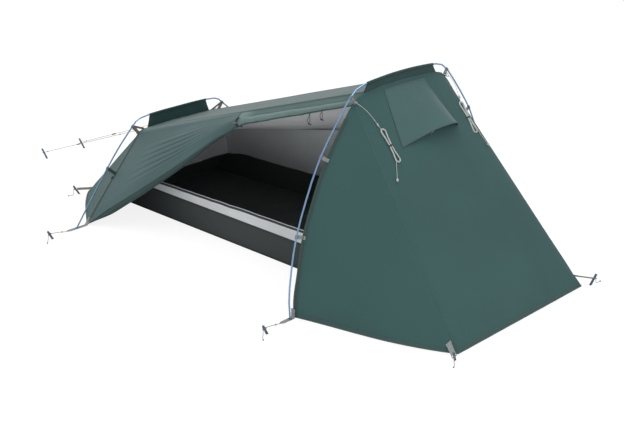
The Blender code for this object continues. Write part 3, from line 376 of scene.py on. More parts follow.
class Nodes:
    """Adds nodes to one tree."""

    def __init__(self, tree: bpy.types.NodeTree) -> None:
        """Keep the tree."""
        self.tree = tree

    def node(self, kind: str, settings: dict | None = None, sockets: dict | None = None) -> bpy.types.Node:
        """Add a node.

        Args:
            kind: Its type name.
            settings: Its properties, set before its sockets.
            sockets: Values or links for its inputs.

        Returns:
            The node.
        """
        made = self.tree.nodes.new(kind)
        for key, value in (settings or {}).items():
            setattr(made, key, value)
        for key, value in (sockets or {}).items():
            self.feed(made.inputs[key], value)
        return made

    def feed(self, socket: bpy.types.NodeSocket, value: object) -> None:
        """Link a value to a socket, or set the socket's own number or colour.

        Args:
            socket: The socket.
            value: A value, another socket, a number or a colour.
        """
        value = value.socket if isinstance(value, Value) else value
        if isinstance(value, bpy.types.NodeSocket):
            self.tree.links.new(value, socket)
        else:
            socket.default_value = value

    def seen(self) -> Value:
        """Return 1 for what the camera sees, also through clear parts."""
        path = self.node("ShaderNodeLightPath")
        return Value(self, path.outputs["Is Camera Ray"]).larger(path.outputs["Is Transmission Ray"])


class Painter(Nodes):
    """Builds one material's nodes around its Principled shader."""

    def __init__(self, name: str) -> None:
        """Start a material under a plain name.

        Args:
            name: The material's name.
        """
        self.material = bpy.data.materials.new(name)
        self.material.use_nodes = True
        super().__init__(self.material.node_tree)
        self.shader = self.tree.nodes["Principled BSDF"]

    def uv(self) -> tuple[Value, Value]:
        """Return the piece's own UV in metres along and across the cloth."""
        split = self.node("ShaderNodeSeparateXYZ", None, {0: self.node("ShaderNodeUVMap").outputs[0]})
        return Value(self, split.outputs[0]), Value(self, split.outputs[1])

    def speckle(self, scale: float, detail: float = 2.0) -> Value:
        """Return noise from 0 to 1 at a scale in cycles a metre.

        Args:
            scale: Its cycles a metre.
            detail: How many finer layers it gets.

        Returns:
            The noise.
        """
        place = self.node("ShaderNodeTexCoord").outputs["Object"]
        made = self.node("ShaderNodeTexNoise", None, {"Vector": place, "Scale": scale, "Detail": detail})
        return Value(self, made.outputs["Fac"])

    def stripe(self, along: Value, pitch: float, share: float) -> Value:
        """Draw soft lines.

        Args:
            along: The coordinate that the lines cross.
            pitch: The distance from line to line.
            share: The line's width as a share of the pitch.

        Returns:
            1 on a line and 0 between lines.
        """
        away = ((along / pitch).fraction() - 0.5).absolute()
        return 1.0 - away.step(share * 0.25, share * 0.75)

    def band(self, across: Value, middle: float, half: float) -> Value:
        """Return 1 within half a width of a middle line, and 0 beyond."""
        return 1.0 - (across - middle).absolute().step(half * 0.7, half * 1.2)

    def tint(self, factor: Value, first: object, second: object) -> bpy.types.NodeSocket:
        """Mix two colours."""
        made = self.node("ShaderNodeMix", {"data_type": "RGBA"}, {0: factor, 6: first, 7: second})
        return made.outputs[2]

    def finish(self, colour: object, roughness: object, height: Value | None = None,
               depth: float = 0.001, **constants: float) -> bpy.types.Material:
        """Feed the shader.

        Args:
            colour: The base colour, a link or four numbers.
            roughness: The roughness, a link or a number.
            height: What the bump follows, from 0 to 1.
            depth: The bump's depth in metres.
            constants: Other sockets of the shader.

        Returns:
            The finished material.
        """
        self.feed(self.shader.inputs["Base Color"], colour)
        self.feed(self.shader.inputs["Roughness"], roughness)
        if height is not None:
            bump = self.node("ShaderNodeBump", None, {"Height": height, "Distance": depth, "Strength": 1.0})
            self.feed(self.shader.inputs["Normal"], bump.outputs["Normal"])
        for key, value in constants.items():
            self.feed(self.shader.inputs[key.replace("_", " ")], value)
        return self.material


def srgb(colour: Colour, gain: float = 1.0) -> tuple[float, ...]:
    """Turn a screen colour from 0 to 255 into the linear colour that a shader takes, times a gain.

    Args:
        colour: Red, green and blue.
        gain: The factor.

    Returns:
        The colour, with an alpha of 1.
    """
    shares = [part / 255.0 for part in colour]
    linear = [part / 12.92 if part <= 0.04045 else ((part + 0.055) / 1.055) ** 2.4 for part in shares]
    return (*(min(part * gain, 1.0) for part in linear), 1.0)


@dataclass(frozen=True)
class CoatedCloth:
    """Thin coated ripstop nylon, woven in squares and a little shiny."""

    name: str
    colour: Colour
    roughness: float = 0.62
    sheen: float = 0.10
    square: float = 0.006
    thread_contrast: float = 0.12
    crinkle: float = 0.0008
    specular: float = 0.25
    slot: str = "flysheet"

    def material(self) -> bpy.types.Material:
        """Return the cloth's material.

        Returns:
            The material.
        """
        paint = Painter(self.name)
        u, v = paint.uv()
        threads = paint.stripe(u, self.square, 0.22).larger(paint.stripe(v, self.square, 0.22))
        patch = paint.speckle(2.6, 3.0)
        grain = paint.speckle(420.0, 2.0)
        creases = paint.speckle(15.0, 3.0)
        tone = paint.tint(patch.step(0.30, 0.70), srgb(self.colour, 0.94), srgb(self.colour, 1.05))
        thread = paint.tint(threads * self.thread_contrast + grain * 0.10, tone, srgb(self.colour, 1.9))
        height = creases * 0.80 + threads * 0.07 + grain * 0.05
        rough = patch * 0.10 + (self.roughness - 0.05)
        return paint.finish(thread, rough, height, self.crinkle, Specular_IOR_Level=self.specular,
                            Sheen_Weight=self.sheen, Sheen_Roughness=0.45)


@dataclass(frozen=True)
class StitchedTape:
    """A tape or felled seam with a woven rib and two rows of stitches along it."""

    name: str
    colour: Colour
    thread: Colour
    rows: tuple[float, ...]
    rib: float = 0.0012
    roughness: float = 0.75
    stitch: float = 0.0036
    slot: str = "flysheet"

    def material(self) -> bpy.types.Material:
        """Return the tape's material, with its UV in metres along and across.

        Returns:
            The material.
        """
        paint = Painter(self.name)
        u, v = paint.uv()
        ribs = paint.stripe(u, self.rib, 0.9)
        fuzz = paint.speckle(700.0, 2.0)
        dash = 1.0 - ((u / self.stitch).fraction() - 0.5).absolute().step(0.30, 0.38)
        line = None
        for place in self.rows:
            row = paint.band(v, place, 0.0007)
            line = line.larger(row) if line else row
        # The gaps between the raised ribs fall towards a darker copy of the colour: painted shade in the
        # grooves, mixed with random fuzz.
        woven = paint.tint(ribs * 0.5 + fuzz * 0.4, srgb(self.colour, 0.74), srgb(self.colour))
        if line is None:
            return paint.finish(woven, self.roughness, ribs * 0.6 + fuzz * 0.4, 0.0003, Sheen_Weight=0.06)
        stitches = line * dash
        colour = paint.tint(stitches, woven, srgb(self.thread))
        height = ribs * 0.25 + fuzz * 0.15 + stitches * 0.5 - line * (1.0 - dash) * 0.3
        return paint.finish(colour, self.roughness, height, 0.0006, Sheen_Weight=0.06)


@dataclass(frozen=True)
class Anodised:
    """Drawn and anodised aluminium with rubbed patches and a fine grit."""

    name: str
    colour: Colour
    rubbed: Colour
    metallic: float = 0.75
    roughness: float = 0.34
    slot: str = "peg"

    def material(self) -> bpy.types.Material:
        """Return the metal's material.

        Returns:
            The material.
        """
        paint = Painter(self.name)
        cloud = paint.speckle(26.0, 4.0)
        grit = paint.speckle(1400.0, 2.0)
        wear = cloud.step(0.60, 0.78) * grit.step(0.45, 0.65)
        colour = paint.tint(wear * 0.5, srgb(self.colour), srgb(self.rubbed))
        rough = grit * 0.14 + cloud * 0.12 + (self.roughness - 0.12)
        return paint.finish(colour, rough, grit, 0.00004, Metallic=self.metallic)


@dataclass(frozen=True)
class Moulded:
    """Moulded nylon with a fine spark-eroded grain and lighter scuffed patches."""

    name: str
    colour: Colour
    roughness: float = 0.48
    slot: str = "plastic"

    def material(self) -> bpy.types.Material:
        """Return the plastic's material.

        Returns:
            The material.
        """
        paint = Painter(self.name)
        grain = paint.speckle(1800.0, 2.0)
        cloud = paint.speckle(60.0, 3.0)
        colour = paint.tint(cloud.step(0.45, 0.75), srgb(self.colour), srgb(self.colour, 1.35))
        return paint.finish(colour, grain * 0.16 + (self.roughness - 0.08), grain, 0.00008)


@dataclass(frozen=True)
class Braid:
    """Braided cord: two sets of strands that cross round the cord."""

    name: str
    colour: Colour
    fleck: Colour
    pitch: float = 0.0030
    slot: str = "cord"

    def material(self) -> bpy.types.Material:
        """Return the cord's material, with its UV in metres along and turns around.

        Returns:
            The material.
        """
        paint = Painter(self.name)
        u, v = paint.uv()
        lay = u / self.pitch
        one = (lay + v * 4.0).fraction()
        other = (lay - v * 4.0).fraction()
        strands = (one - 0.5).absolute() + (other - 0.5).absolute()
        fleck = one.step(0.80, 0.86) * paint.speckle(240.0, 1.0).step(0.50, 0.56)
        colour = paint.tint(fleck * 0.7, srgb(self.colour), srgb(self.fleck))
        # The grooves between the strands fall towards a darker copy of the colour: painted shade.
        shade = paint.tint(strands * 0.55, colour, srgb(self.colour, 0.55))
        return paint.finish(shade, 0.78, 1.0 - strands, 0.0004, Sheen_Weight=0.15)


@dataclass(frozen=True)
class Netting:
    """Fine insect netting with open holes."""

    name: str
    colour: Colour
    pitch: float = 0.0030
    slot: str = "insect_mesh"

    def material(self) -> bpy.types.Material:
        """Return the netting's material, whose holes are clear.

        Returns:
            The material.
        """
        paint = Painter(self.name)
        u, v = paint.uv()
        net = paint.stripe(u, self.pitch, 0.55).larger(paint.stripe(v, self.pitch, 0.55))
        fuzz = paint.speckle(300.0)
        colour = paint.tint(fuzz, srgb(self.colour), srgb(GREY))
        return paint.finish(colour, 0.8, net, 0.0003, Alpha=net * 0.85 + 0.10)


@dataclass(frozen=True)
class ZipTeeth:
    """A zip: a woven tape with a coil of teeth down its middle."""

    name: str
    colour: Colour
    middle: float
    tooth: float = 0.0022
    slot: str = "flysheet"

    def material(self) -> bpy.types.Material:
        """Return the zip's material, with its UV in metres along and across.

        Returns:
            The material.
        """
        paint = Painter(self.name)
        u, v = paint.uv()
        coil = paint.band(v, self.middle, 0.0022)
        teeth = coil * paint.stripe(u, self.tooth, 0.8)
        ribs = paint.stripe(u, 0.0010, 0.8)
        colour = paint.tint(teeth, srgb(self.colour), srgb(GREY))
        return paint.finish(colour, 0.55 - coil * 0.10, teeth * 0.8 + ribs * 0.15, 0.0010)


class Look(Enum):
    """The finishes of this tent."""

    FLY = CoatedCloth("fly_nylon", (54, 87, 86))
    # A lighter copy of the flysheet nylon for the roof and far side: painted light and sheen where the roof
    # catches the light.
    FLY_IN_LIGHT = CoatedCloth("fly_nylon_roof", (74, 97, 96), roughness=0.52, sheen=0.14,
        specular=0.32, slot="flysheet_light")
    # A lighter copy of the flysheet nylon for the open door flap: painted light where the flap faces up to
    # the light.
    FLAP = CoatedCloth("flap_nylon", (68, 94, 95), roughness=0.54, sheen=0.22, specular=0.4,
        slot="flysheet_light")
    # A much lighter copy of the flysheet nylon for the rolled door: painted light and sheen on the roll.
    ROLL = CoatedCloth("roll_nylon", (96, 121, 118), roughness=0.45, sheen=0.30, specular=0.45,
        slot="flysheet_light")
    HOOD = CoatedCloth("hood_nylon", (58, 92, 91), roughness=0.42, sheen=0.15, specular=0.45)
    SLEEVE = CoatedCloth("sleeve_nylon", (42, 68, 68), roughness=0.62)
    TUB = CoatedCloth("tub_nylon", (56, 61, 61), roughness=0.50, sheen=0.10, square=0.005,
        slot="groundsheet")
    # Two copies of the pale inner cloth, both brightened to stand in for light that comes through the
    # flysheet: painted light. The walls' copy is darker: painted shade on the walls that face away from the
    # light.
    INNER = CoatedCloth("inner_cloth", (238, 240, 242), roughness=0.80, sheen=0.10, square=0.004,
        slot="inner")
    INNER_WALL = CoatedCloth("inner_wall_cloth", (206, 211, 214), roughness=0.80, sheen=0.10,
        square=0.004, slot="inner")
    SILL = CoatedCloth("sill_cloth", (216, 220, 224), roughness=0.70, sheen=0.10, square=0.004, slot="sill")
    SEAM = StitchedTape("fly_seam", (54, 90, 90), (60, 94, 93), (5.002, 5.005), roughness=0.60)
    # A lighter copy of the seam tape for the roof's seams: painted light to match the roof's cloth.
    ROOF_SEAM = StitchedTape("roof_seam", (80, 104, 102), (88, 110, 108), (5.003, 5.007), roughness=0.55)
    HEM = StitchedTape("fly_hem", (52, 82, 80), (84, 108, 105), (5.004, 5.016), roughness=0.60)
    # A dark band tape: the storm bands along the legs, and also painted shade at the door flap's curled hem
    # and under the vent hood's lip.
    STORM_BAND = StitchedTape("fly_storm_band", (42, 70, 69), (84, 108, 105), (5.003, 5.017), roughness=0.60)
    TUB_SEAM = StitchedTape("tub_seam", (40, 44, 44), (70, 74, 74), (5.002, 5.008), slot="groundsheet")
    INNER_SEAM = StitchedTape("inner_seam", (120, 124, 124), (170, 172, 172), (5.002, 5.006), slot="inner")
    WEBBING = StitchedTape("grey_webbing", (150, 156, 158), (196, 198, 198), (5.003, 5.014),
        rib=0.0018, slot="webbing")
    HOOD_SEAM = StitchedTape("hood_seam", (56, 88, 87), (92, 116, 113), (5.002, 5.005), roughness=0.5)
    BINDING = StitchedTape("olive_binding", (60, 88, 78), (96, 118, 110), ())
    DARK_WEBBING = StitchedTape("dark_webbing", (122, 119, 112), (120, 120, 120), (), rib=0.0018,
        slot="webbing")
    TIE = StitchedTape("tie_webbing", (42, 45, 54), (120, 120, 120), (), rib=0.0018, slot="webbing")
    ZIP = ZipTeeth("zip_black", (26, 30, 31), 5.0065, slot="sill")
    ZIP_GREEN = ZipTeeth("zip_green", (54, 79, 79), 5.0045)
    NET = Netting("vent_net", (22, 26, 27))
    POLE = Anodised("pole_alloy", (140, 176, 212), (212, 220, 228), metallic=0.92, roughness=0.26)
    PEG = Anodised("peg_alloy", (96, 112, 128), (170, 178, 186), metallic=0.8, roughness=0.42)
    PLASTIC = Moulded("grey_nylon", (112, 124, 134))
    DARK_PLASTIC = Moulded("dark_nylon", (58, 64, 70))
    PALE_PLASTIC = Moulded("pale_nylon", (176, 180, 178))
    DARK_CORD = Braid("dark_cord", (46, 46, 48), (90, 90, 92))
    ELASTIC = Braid("shock_cord", (186, 186, 182), (120, 120, 120), slot="elastic")
    CORD = Braid("guy_cord", (150, 146, 140), (104, 106, 106))
    STOWED_CORD = Braid("stowed_cord", (214, 218, 214), (120, 128, 132))


@cache
def material(look: Look) -> bpy.types.Material:
    """Return a finish's material, made the first time it is asked for."""
    return look.value.material()


# Modelling

CUTS: dict[str, tuple[float, float]] = {}


def deselect() -> None:
    """Leave nothing selected."""
    if bpy.context.object and bpy.context.object.mode != "OBJECT":
        bpy.ops.object.mode_set(mode="OBJECT")
    bpy.ops.object.select_all(action="DESELECT")


def activate(piece: Piece) -> None:
    """Select one piece and make it the active one.

    Args:
        piece: The piece.
    """
    deselect()
    piece.select_set(True)
    bpy.context.view_layer.objects.active = piece


def apply_modifier(piece: Piece, kind: str, **settings: object) -> None:
    """Add a modifier, set it and apply it.

    Args:
        piece: The piece.
        kind: The modifier's type.
        settings: Its properties.
    """
    activate(piece)
    change = piece.modifiers.new(kind.lower(), kind)
    for key, value in settings.items():
        setattr(change, key, value)
    bpy.ops.object.modifier_apply(modifier=change.name)


def lay_rows(name: str, rows: Rows, outward: Vector) -> Piece:
    """Lay a grid of cloth on rows of points, facing outward, with its UV in metres from 5 at an edge.

    Args:
        name: The piece's name.
        rows: The rows of points, all of one length.
        outward: Roughly where the cloth's outer face looks.

    Returns:
        The sheet, without thickness yet.
    """
    deselect()
    bpy.ops.mesh.primitive_grid_add(x_subdivisions=len(rows[0]) - 1, y_subdivisions=len(rows) - 1, size=1)
    piece = bpy.context.object
    piece.name = name
    mesh = piece.data
    mesh.name = name
    mesh.vertices.foreach_set("co", [part for row in rows for point in row for part in point])
    along = [running(row) for row in rows]
    down = [running([row[i] for row in rows]) for i in range(len(rows[0]))]
    middle = len(rows[0]) // 2
    metric = [(run[i] - run[middle] + 5.0, down[i][j] + 5.0)
              for j, run in enumerate(along) for i in range(len(run))]
    for loop, spot in zip(mesh.loops, mesh.uv_layers[0].data):
        spot.uv = metric[loop.vertex_index]
    CUTS[name] = (max(run[-1] for run in along), max(run[-1] for run in down))
    mesh.update()
    facing = sum((face.normal * face.area for face in mesh.polygons), Vector())
    if facing.dot(outward) < 0:
        mesh.flip_normals()
    return piece


def join(name: str, first: Piece, second: Piece) -> Piece:
    """Join two pieces into one, which is returned under a new name.

    Args:
        name: The new name.
        first: The piece that is kept.
        second: The piece that goes into it.

    Returns:
        The joined piece.
    """
    activate(first)
    second.select_set(True)
    bpy.ops.object.join()
    first.name = first.data.name = name
    return first


def merge(piece: Piece, distance: float) -> None:
    """Merge the points of a piece that meet.

    Args:
        piece: The piece.
        distance: How near points have to be.
    """
    activate(piece)
    bpy.ops.object.mode_set(mode="EDIT")
    bpy.ops.mesh.select_all(action="SELECT")
    bpy.ops.mesh.remove_doubles(threshold=distance)
    bpy.ops.object.mode_set(mode="OBJECT")


def select(piece: Piece, kind: str, chosen: Callable[[int], bool]) -> None:
    """Enter edit mode with the points or faces selected whose numbers a test chooses.

    Args:
        piece: The piece.
        kind: VERT or FACE.
        chosen: The test on a number.
    """
    activate(piece)
    bpy.ops.object.mode_set(mode="EDIT")
    bpy.ops.mesh.select_mode(type=kind)
    bpy.ops.mesh.select_all(action="DESELECT")
    bpy.ops.object.mode_set(mode="OBJECT")
    for part in piece.data.vertices if kind == "VERT" else piece.data.polygons:
        part.select = chosen(part.index)
    bpy.ops.object.mode_set(mode="EDIT")


def remove_faces(piece: Piece, chosen: Callable[[int], bool]) -> None:
    """Cut away the faces whose numbers a test chooses.

    Args:
        piece: The piece.
        chosen: The test on a number.
    """
    select(piece, "FACE", chosen)
    bpy.ops.mesh.delete(type="FACE")
    bpy.ops.object.mode_set(mode="OBJECT")


def rumple(point: Vector, size: float, depth: float, seed: float) -> float:
    """Return a smooth random height for a place on cloth."""
    return depth * noise.noise(point / size + Vector((seed, seed * 1.7, -seed)))


def displace(piece: Piece, height: Callable[[Vector], float]) -> None:
    """Move each point of a sheet along its normal.

    Args:
        piece: The piece.
        height: The height at a point.
    """
    mesh = piece.data
    moves = [vert.normal * height(vert.co) for vert in mesh.vertices]
    for vert, move in zip(mesh.vertices, moves):
        vert.co += move
    mesh.update()


def thicken(piece: Piece, thickness: float, offset: float = 1.0) -> None:
    """Give a sheet its thickness and smooth shading.

    Args:
        piece: The piece.
        thickness: The cloth's thickness.
        offset: 1 where it grows outwards and 0 where it grows to both sides.
    """
    apply_modifier(piece, "SOLIDIFY", thickness=thickness, offset=offset)
    activate(piece)
    bpy.ops.object.shade_smooth_by_angle(angle=math.radians(38))


def dress(piece: Piece, look: Look, nodes: Sequence[str] = (), slot: str = "", body: str = TENT) -> None:
    """Finish a piece.

    Args:
        piece: The piece, already in place.
        look: Its finish.
        nodes: The CAD nodes that it replaces.
        slot: The record's material slot, if not its finish's own; not used.
        body: The CAD body that it rides on.
    """
    piece.data.materials.clear()
    piece.data.materials.append(material(look))
    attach(piece, body)
    slot or look.value.slot
    if nodes:
        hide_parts(*nodes)
    LOG.info("%s: %d faces", piece.name, len(piece.data.polygons))


def make_sheet(name: str, rows: Rows, outward: Vector, thickness: float, look: Look,
               nodes: Sequence[str] = (), height: Callable[[Vector], float] | None = None,
               offset: float = 1.0, slot: str = "") -> Piece:
    """Lay, shape, thicken and dress a sheet of cloth.

    Args:
        name: The piece's name.
        rows: The rows of points that it is laid on.
        outward: Roughly where its outer face looks.
        thickness: Its thickness.
        look: Its finish.
        nodes: The CAD nodes that it replaces.
        height: How far each point moves along its normal.
        offset: Where the rows lie in its thickness: 1 inside and 0 in the middle.
        slot: Its material slot, if not its finish's own; handed on to dress, which doesn't use it.

    Returns:
        The sheet.
    """
    piece = lay_rows(name, rows, outward)
    if height:
        displace(piece, height)
    thicken(piece, thickness, offset)
    dress(piece, look, nodes, slot)
    return piece


def declare(piece: Piece,
            trims: Sequence[Piece] = ()) -> None:
    """Work out a sheet's area and the size that it was cut to, which are not used further.

    Args:
        piece: The finished sheet.
        trims: The pieces sewn to it; not used.
    """
    width, length = CUTS[piece.name]
    area = sum(face.area for face in piece.data.polygons) / 2
    whole = width * length
    cut = max(min(area, whole), 0.3 * whole) if area < 0.95 * whole else None


class Ground:
    """A finished sheet that trims are laid on."""

    def __init__(self, piece: Piece) -> None:
        """Keep a search tree of the sheet's faces."""
        self.tree = BVHTree.FromObject(piece, bpy.context.evaluated_depsgraph_get())

    def lift(self, point: Vector, distance: float, outward: Vector) -> Vector:
        """Return the place over the sheet nearest to a point.

        Args:
            point: A point near the sheet.
            distance: How far over the sheet the result lies.
            outward: Roughly the way out of the sheet there.

        Returns:
            The lifted point.
        """
        place, normal, _, _ = self.tree.find_nearest(point + outward.normalized() * 0.004)
        if normal.dot(outward) < 0:
            normal = -normal
        return place + normal * distance


def band_rows(line: Line, across: Vector | Line, width: float, columns: int = 2) -> Rows:
    """Widen a line to a band of cloth.

    Args:
        line: The band's middle line.
        across: The band's way across, one for all or one for each point.
        width: The band's width.
        columns: How many strips the width is cut into.

    Returns:
        Rows along the band.
    """
    ways = across if isinstance(across, list) else [across] * len(line)
    shares = [column / columns - 0.5 for column in range(columns + 1)]
    return [[point + way * width * share for point, way in zip(line, ways)] for share in shares]


def make_band(name: str, line: Line, across: Vector | Line, width: float, thickness: float, look: Look,
              outward: Vector, ground: Ground | None = None, lift: float = 0.0004, slot: str = "") -> Piece:
    """Make a strap, tape or seam along a line, laid on a sheet where one is given.

    Args:
        name: The piece's name.
        line: The band's middle line.
        across: The band's way across, one for all or one for each point.
        width: The band's width.
        thickness: Its thickness.
        look: Its finish.
        outward: Roughly where its outer face looks.
        ground: The sheet that it is sewn to.
        lift: How far over that sheet its inner face lies.
        slot: Its material slot, if not its finish's own; handed on to dress, which doesn't use it.

    Returns:
        The band.
    """
    rows = band_rows(line, across, width, 4 if ground else 2)
    if ground:
        rows = [[ground.lift(point, lift, outward) for point in row] for row in rows]
    return make_sheet(name, rows, outward, thickness, look, slot=slot)


def make_tube(name: str, line: Line, radius: float, look: Look, sides: int = 2, radii: Sequence[float] = (),
              nodes: Sequence[str] = (), slot: str = "", body: str = TENT) -> Piece:
    """Make a cord as a curve's mesh with its UV in metres.

    Args:
        name: The piece's name.
        line: The points down its middle.
        radius: Its radius.
        look: Its finish.
        sides: The curve's bevel resolution.
        radii: Shares of the radius at each point.
        nodes: The CAD nodes that it replaces.
        slot: Its material slot, if not its finish's own; handed on to dress, which doesn't use it.
        body: The CAD body that it rides on.

    Returns:
        The cord.
    """
    data = bpy.data.curves.new(name, "CURVE")
    data.dimensions = "3D"
    data.bevel_depth = radius
    data.bevel_resolution = sides
    data.use_fill_caps = True
    data.twist_mode = "MINIMUM"
    spline = data.splines.new("POLY")
    spline.points.add(len(line) - 1)
    for i, point in enumerate(line):
        spline.points[i].co = (*point, 1.0)
        spline.points[i].radius = radii[i] if radii else 1.0
    drawn = bpy.data.objects.new(name, data)
    bpy.context.collection.objects.link(drawn)
    bpy.context.view_layer.update()
    mesh = bpy.data.meshes.new_from_object(drawn.evaluated_get(bpy.context.evaluated_depsgraph_get()))
    bpy.data.objects.remove(drawn, do_unlink=True)
    piece = bpy.data.objects.new(name, mesh)
    bpy.context.collection.objects.link(piece)
    length = running(line)[-1]
    for loop in mesh.uv_layers[0].data:
        loop.uv = (loop.uv[0] * length, loop.uv[1])
    merge(piece, radius * 0.02)
    bpy.ops.object.shade_smooth_by_angle(angle=math.radians(50))
    dress(piece, look, nodes, slot, body)
    return piece


# Studio

@dataclass(frozen=True)
class Studio:
    """A pale floor, a pale surround, soft lamps and the photo's camera."""

    focal_pixels: float = 1242.4
    photo_width: float = 624.0
    sensor: float = 36.0
    camera_place: tuple[float, float, float] = (3.728, -4.484, 2.607)
    camera_pitch: float = 0.38
    camera_yaw: float = 0.767
    world_strength: float = 0.62
    floor_reach: float = 40.0
    floor_drop: float = 0.0006
    floor_glow: float = 1.12
    glow_share: float = 0.76

    def camera(self) -> None:
        """Set up the camera at the photo's place."""
        data = bpy.data.cameras.new("camera")
        data.sensor_width = self.sensor
        data.lens = self.sensor * self.focal_pixels / self.photo_width
        camera = bpy.data.objects.new("camera", data)
        camera.location = self.camera_place
        camera.rotation_euler = (math.pi / 2 - self.camera_pitch, 0.0, self.camera_yaw)
        bpy.context.collection.objects.link(camera)
        bpy.context.scene.camera = camera

    def world(self) -> None:
        """Make the surround white to the eye and softer as a light."""
        world = bpy.data.worlds.new("surround")
        world.use_nodes = True
        nodes = Nodes(world.node_tree)
        nodes.tree.nodes.clear()
        strength = nodes.node("ShaderNodeMapRange", None,
                              {"Value": nodes.seen(), "To Min": self.world_strength, "To Max": 1.0})
        back = nodes.node("ShaderNodeBackground", None, {"Color": WHITE, "Strength": strength.outputs[0]})
        nodes.node("ShaderNodeOutputWorld", None, {"Surface": back.outputs[0]})
        bpy.context.scene.world = world

    def lamp(self, name: str, place: Vector, aim: Vector, size: float, watts: float) -> None:
        """Hang one square soft lamp that looks at a point.

        Args:
            name: Its name.
            place: Where it hangs.
            aim: What it looks at.
            size: Its side.
            watts: Its power.
        """
        data = bpy.data.lights.new(name, "AREA")
        data.energy = watts
        data.size = size
        lamp = bpy.data.objects.new(name, data)
        lamp.location = place
        lamp.rotation_euler = (aim - place).to_track_quat("-Z", "Y").to_euler()
        bpy.context.collection.objects.link(lamp)

    def floor(self) -> None:
        """Lay the pale floor, which keeps the tent's soft shadow."""
        deselect()
        bpy.ops.mesh.primitive_plane_add(size=self.floor_reach, location=(-0.6, 0.0, -self.floor_drop))
        floor = bpy.context.object
        floor.name = "floor"
        paint = Painter("floor_paper")
        paint.finish(paint.tint(paint.speckle(3.0), (*[0.93] * 3, 1.0), (*[0.95] * 3, 1.0)), 0.9,
                     Specular_IOR_Level=0.0)
        glow = paint.node("ShaderNodeEmission", None, {"Color": WHITE, "Strength": self.floor_glow})
        blend = paint.node("ShaderNodeMixShader", None, {0: paint.seen() * self.glow_share,
                                                         1: paint.shader.outputs[0], 2: glow.outputs[0]})
        out = next(node for node in paint.tree.nodes if node.type == "OUTPUT_MATERIAL")
        paint.feed(out.inputs["Surface"], blend.outputs[0])
        floor.data.materials.append(paint.material)

    def build(self) -> None:
        """Set up everything round the tent."""
        bpy.context.scene.view_settings.view_transform = "Standard"
        self.camera()
        self.world()
        middle = Vector((-0.6, 0.0, 0.4))
        self.lamp("overhead", Vector((-0.8, 0.2, 5.2)), middle, 4.5, 110.0)
        self.lamp("head_side", Vector((5.2, -2.4, 2.8)), middle, 3.0, 45.0)
        self.lamp("doorway", Vector((1.4, -3.0, 0.35)), Vector((-0.9, 0.2, 0.5)), 0.8, 4.0)
        self.floor()


# Cords, whose routes repeat the CAD's

PEG_RING_HEIGHT = 0.034
PEG_LEAN = math.radians(30)
PEG_REACH = 0.0065
CORD_GAP = 0.0008


def peg_ring(base: Vector, axis: Vector, travel: Vector, radius: float) -> Line:
    """Return a cord's loop round a peg, entered along the way of travel.

    Args:
        base: Where the peg enters the ground.
        axis: The peg's upward direction.
        travel: The cord's way to the peg.
        radius: The cord's radius.

    Returns:
        The loop's points.
    """
    centre = base + axis * (PEG_RING_HEIGHT / axis.z)
    ahead = (travel - axis * travel.dot(axis)).normalized()
    side = ahead.cross(axis).normalized()
    reach = PEG_REACH + radius + CORD_GAP
    return [centre + side * reach * math.cos(a) + ahead * reach * math.sin(a)
            for a in (math.radians(33 * step) for step in range(10))]


@dataclass(frozen=True)
class FootGuylines:
    """The two taut guylines at the foot, from the hoop's shoulders to their pegs."""

    radius: float = 0.00125
    start_share: float = 0.55
    clip_share: float = FOOT_SHOULDER
    webbing_thickness: float = 0.0025
    seat: float = 0.0004
    peg_x: float = -2.777
    peg_spread: float = 0.147
    peg_shift: float = -0.054
    peg_lean: float = math.radians(42)
    stem: float = 0.014

    def build(self) -> None:
        """Make both guylines, each with the knot at its loop."""
        for label, side in SIDES:
            origin, across, _ = FOOT.pole_at(side, self.clip_share)
            start = origin + across * FOOT.hang * self.start_share
            start -= FORTH * (self.webbing_thickness / 2 + self.radius + self.seat)
            base = Vector((self.peg_x, self.peg_shift + side * self.peg_spread, 0))
            axis = lean_axis(-FORTH, self.peg_lean)
            travel = (base + axis * PEG_RING_HEIGHT - start).normalized()
            loop = peg_ring(base, axis, travel, self.radius)
            line = [start - across * self.stem, *mix(start, loop[0], 12), *smooth_path(loop[1:], 2)]
            node = f"foot_guyline_{label}"
            piece = make_tube(f"guyline_{label}", line, self.radius, Look.CORD, nodes=[node])
            run = (loop[0] - start).normalized()
            knots = [make_knot(f"guyline_{label}_knot_{number}", start.lerp(loop[0], share), run, self.radius)
                     for number, share in enumerate((0.16, 0.965))]
            tuple(line[0])
            running(line)[-1]
            [tuple(p) for p in line]


def make_knot(name: str, place: Vector, run: Vector, radius: float) -> Piece:
    """Make a small overhand knot round a cord.

    Args:
        name: The piece's name.
        place: Its middle on the cord.
        run: The cord's way there.
        radius: The cord's radius.

    Returns:
        The knot.
    """
    side = run.orthogonal().normalized()
    other = run.cross(side)
    line = []
    for step in range(25):
        angle = 2 * math.pi * step / 24
        wide = radius * (2.0 + 0.5 * math.cos(3 * angle))
        line.append(place + side * wide * math.cos(2 * angle) + other * wide * math.sin(2 * angle)
                    + run * radius * 1.6 * math.sin(3 * angle))
    return make_tube(name, line, radius * 0.95, Look.CORD)


# Flysheet

CLOTH = 0.0006
CLOTH_LIFT = 0.0007


def along_rows(rows: Rows, column: int, inset: float, ahead: int = 3) -> Line:
    """Return a line that follows a column of a sheet's rows at a distance from it.

    Args:
        rows: The sheet's rows.
        column: The column, from either end of the rows.
        inset: The distance along the cloth.
        ahead: Which neighbour gives the way, counted in columns.

    Returns:
        One point for each row whose points don't meet.
    """
    line = []
    for row in rows:
        way = row[column + ahead] - row[column]
        if way.length > 0.012:
            line.append(row[column] + way.normalized() * inset)
    return line


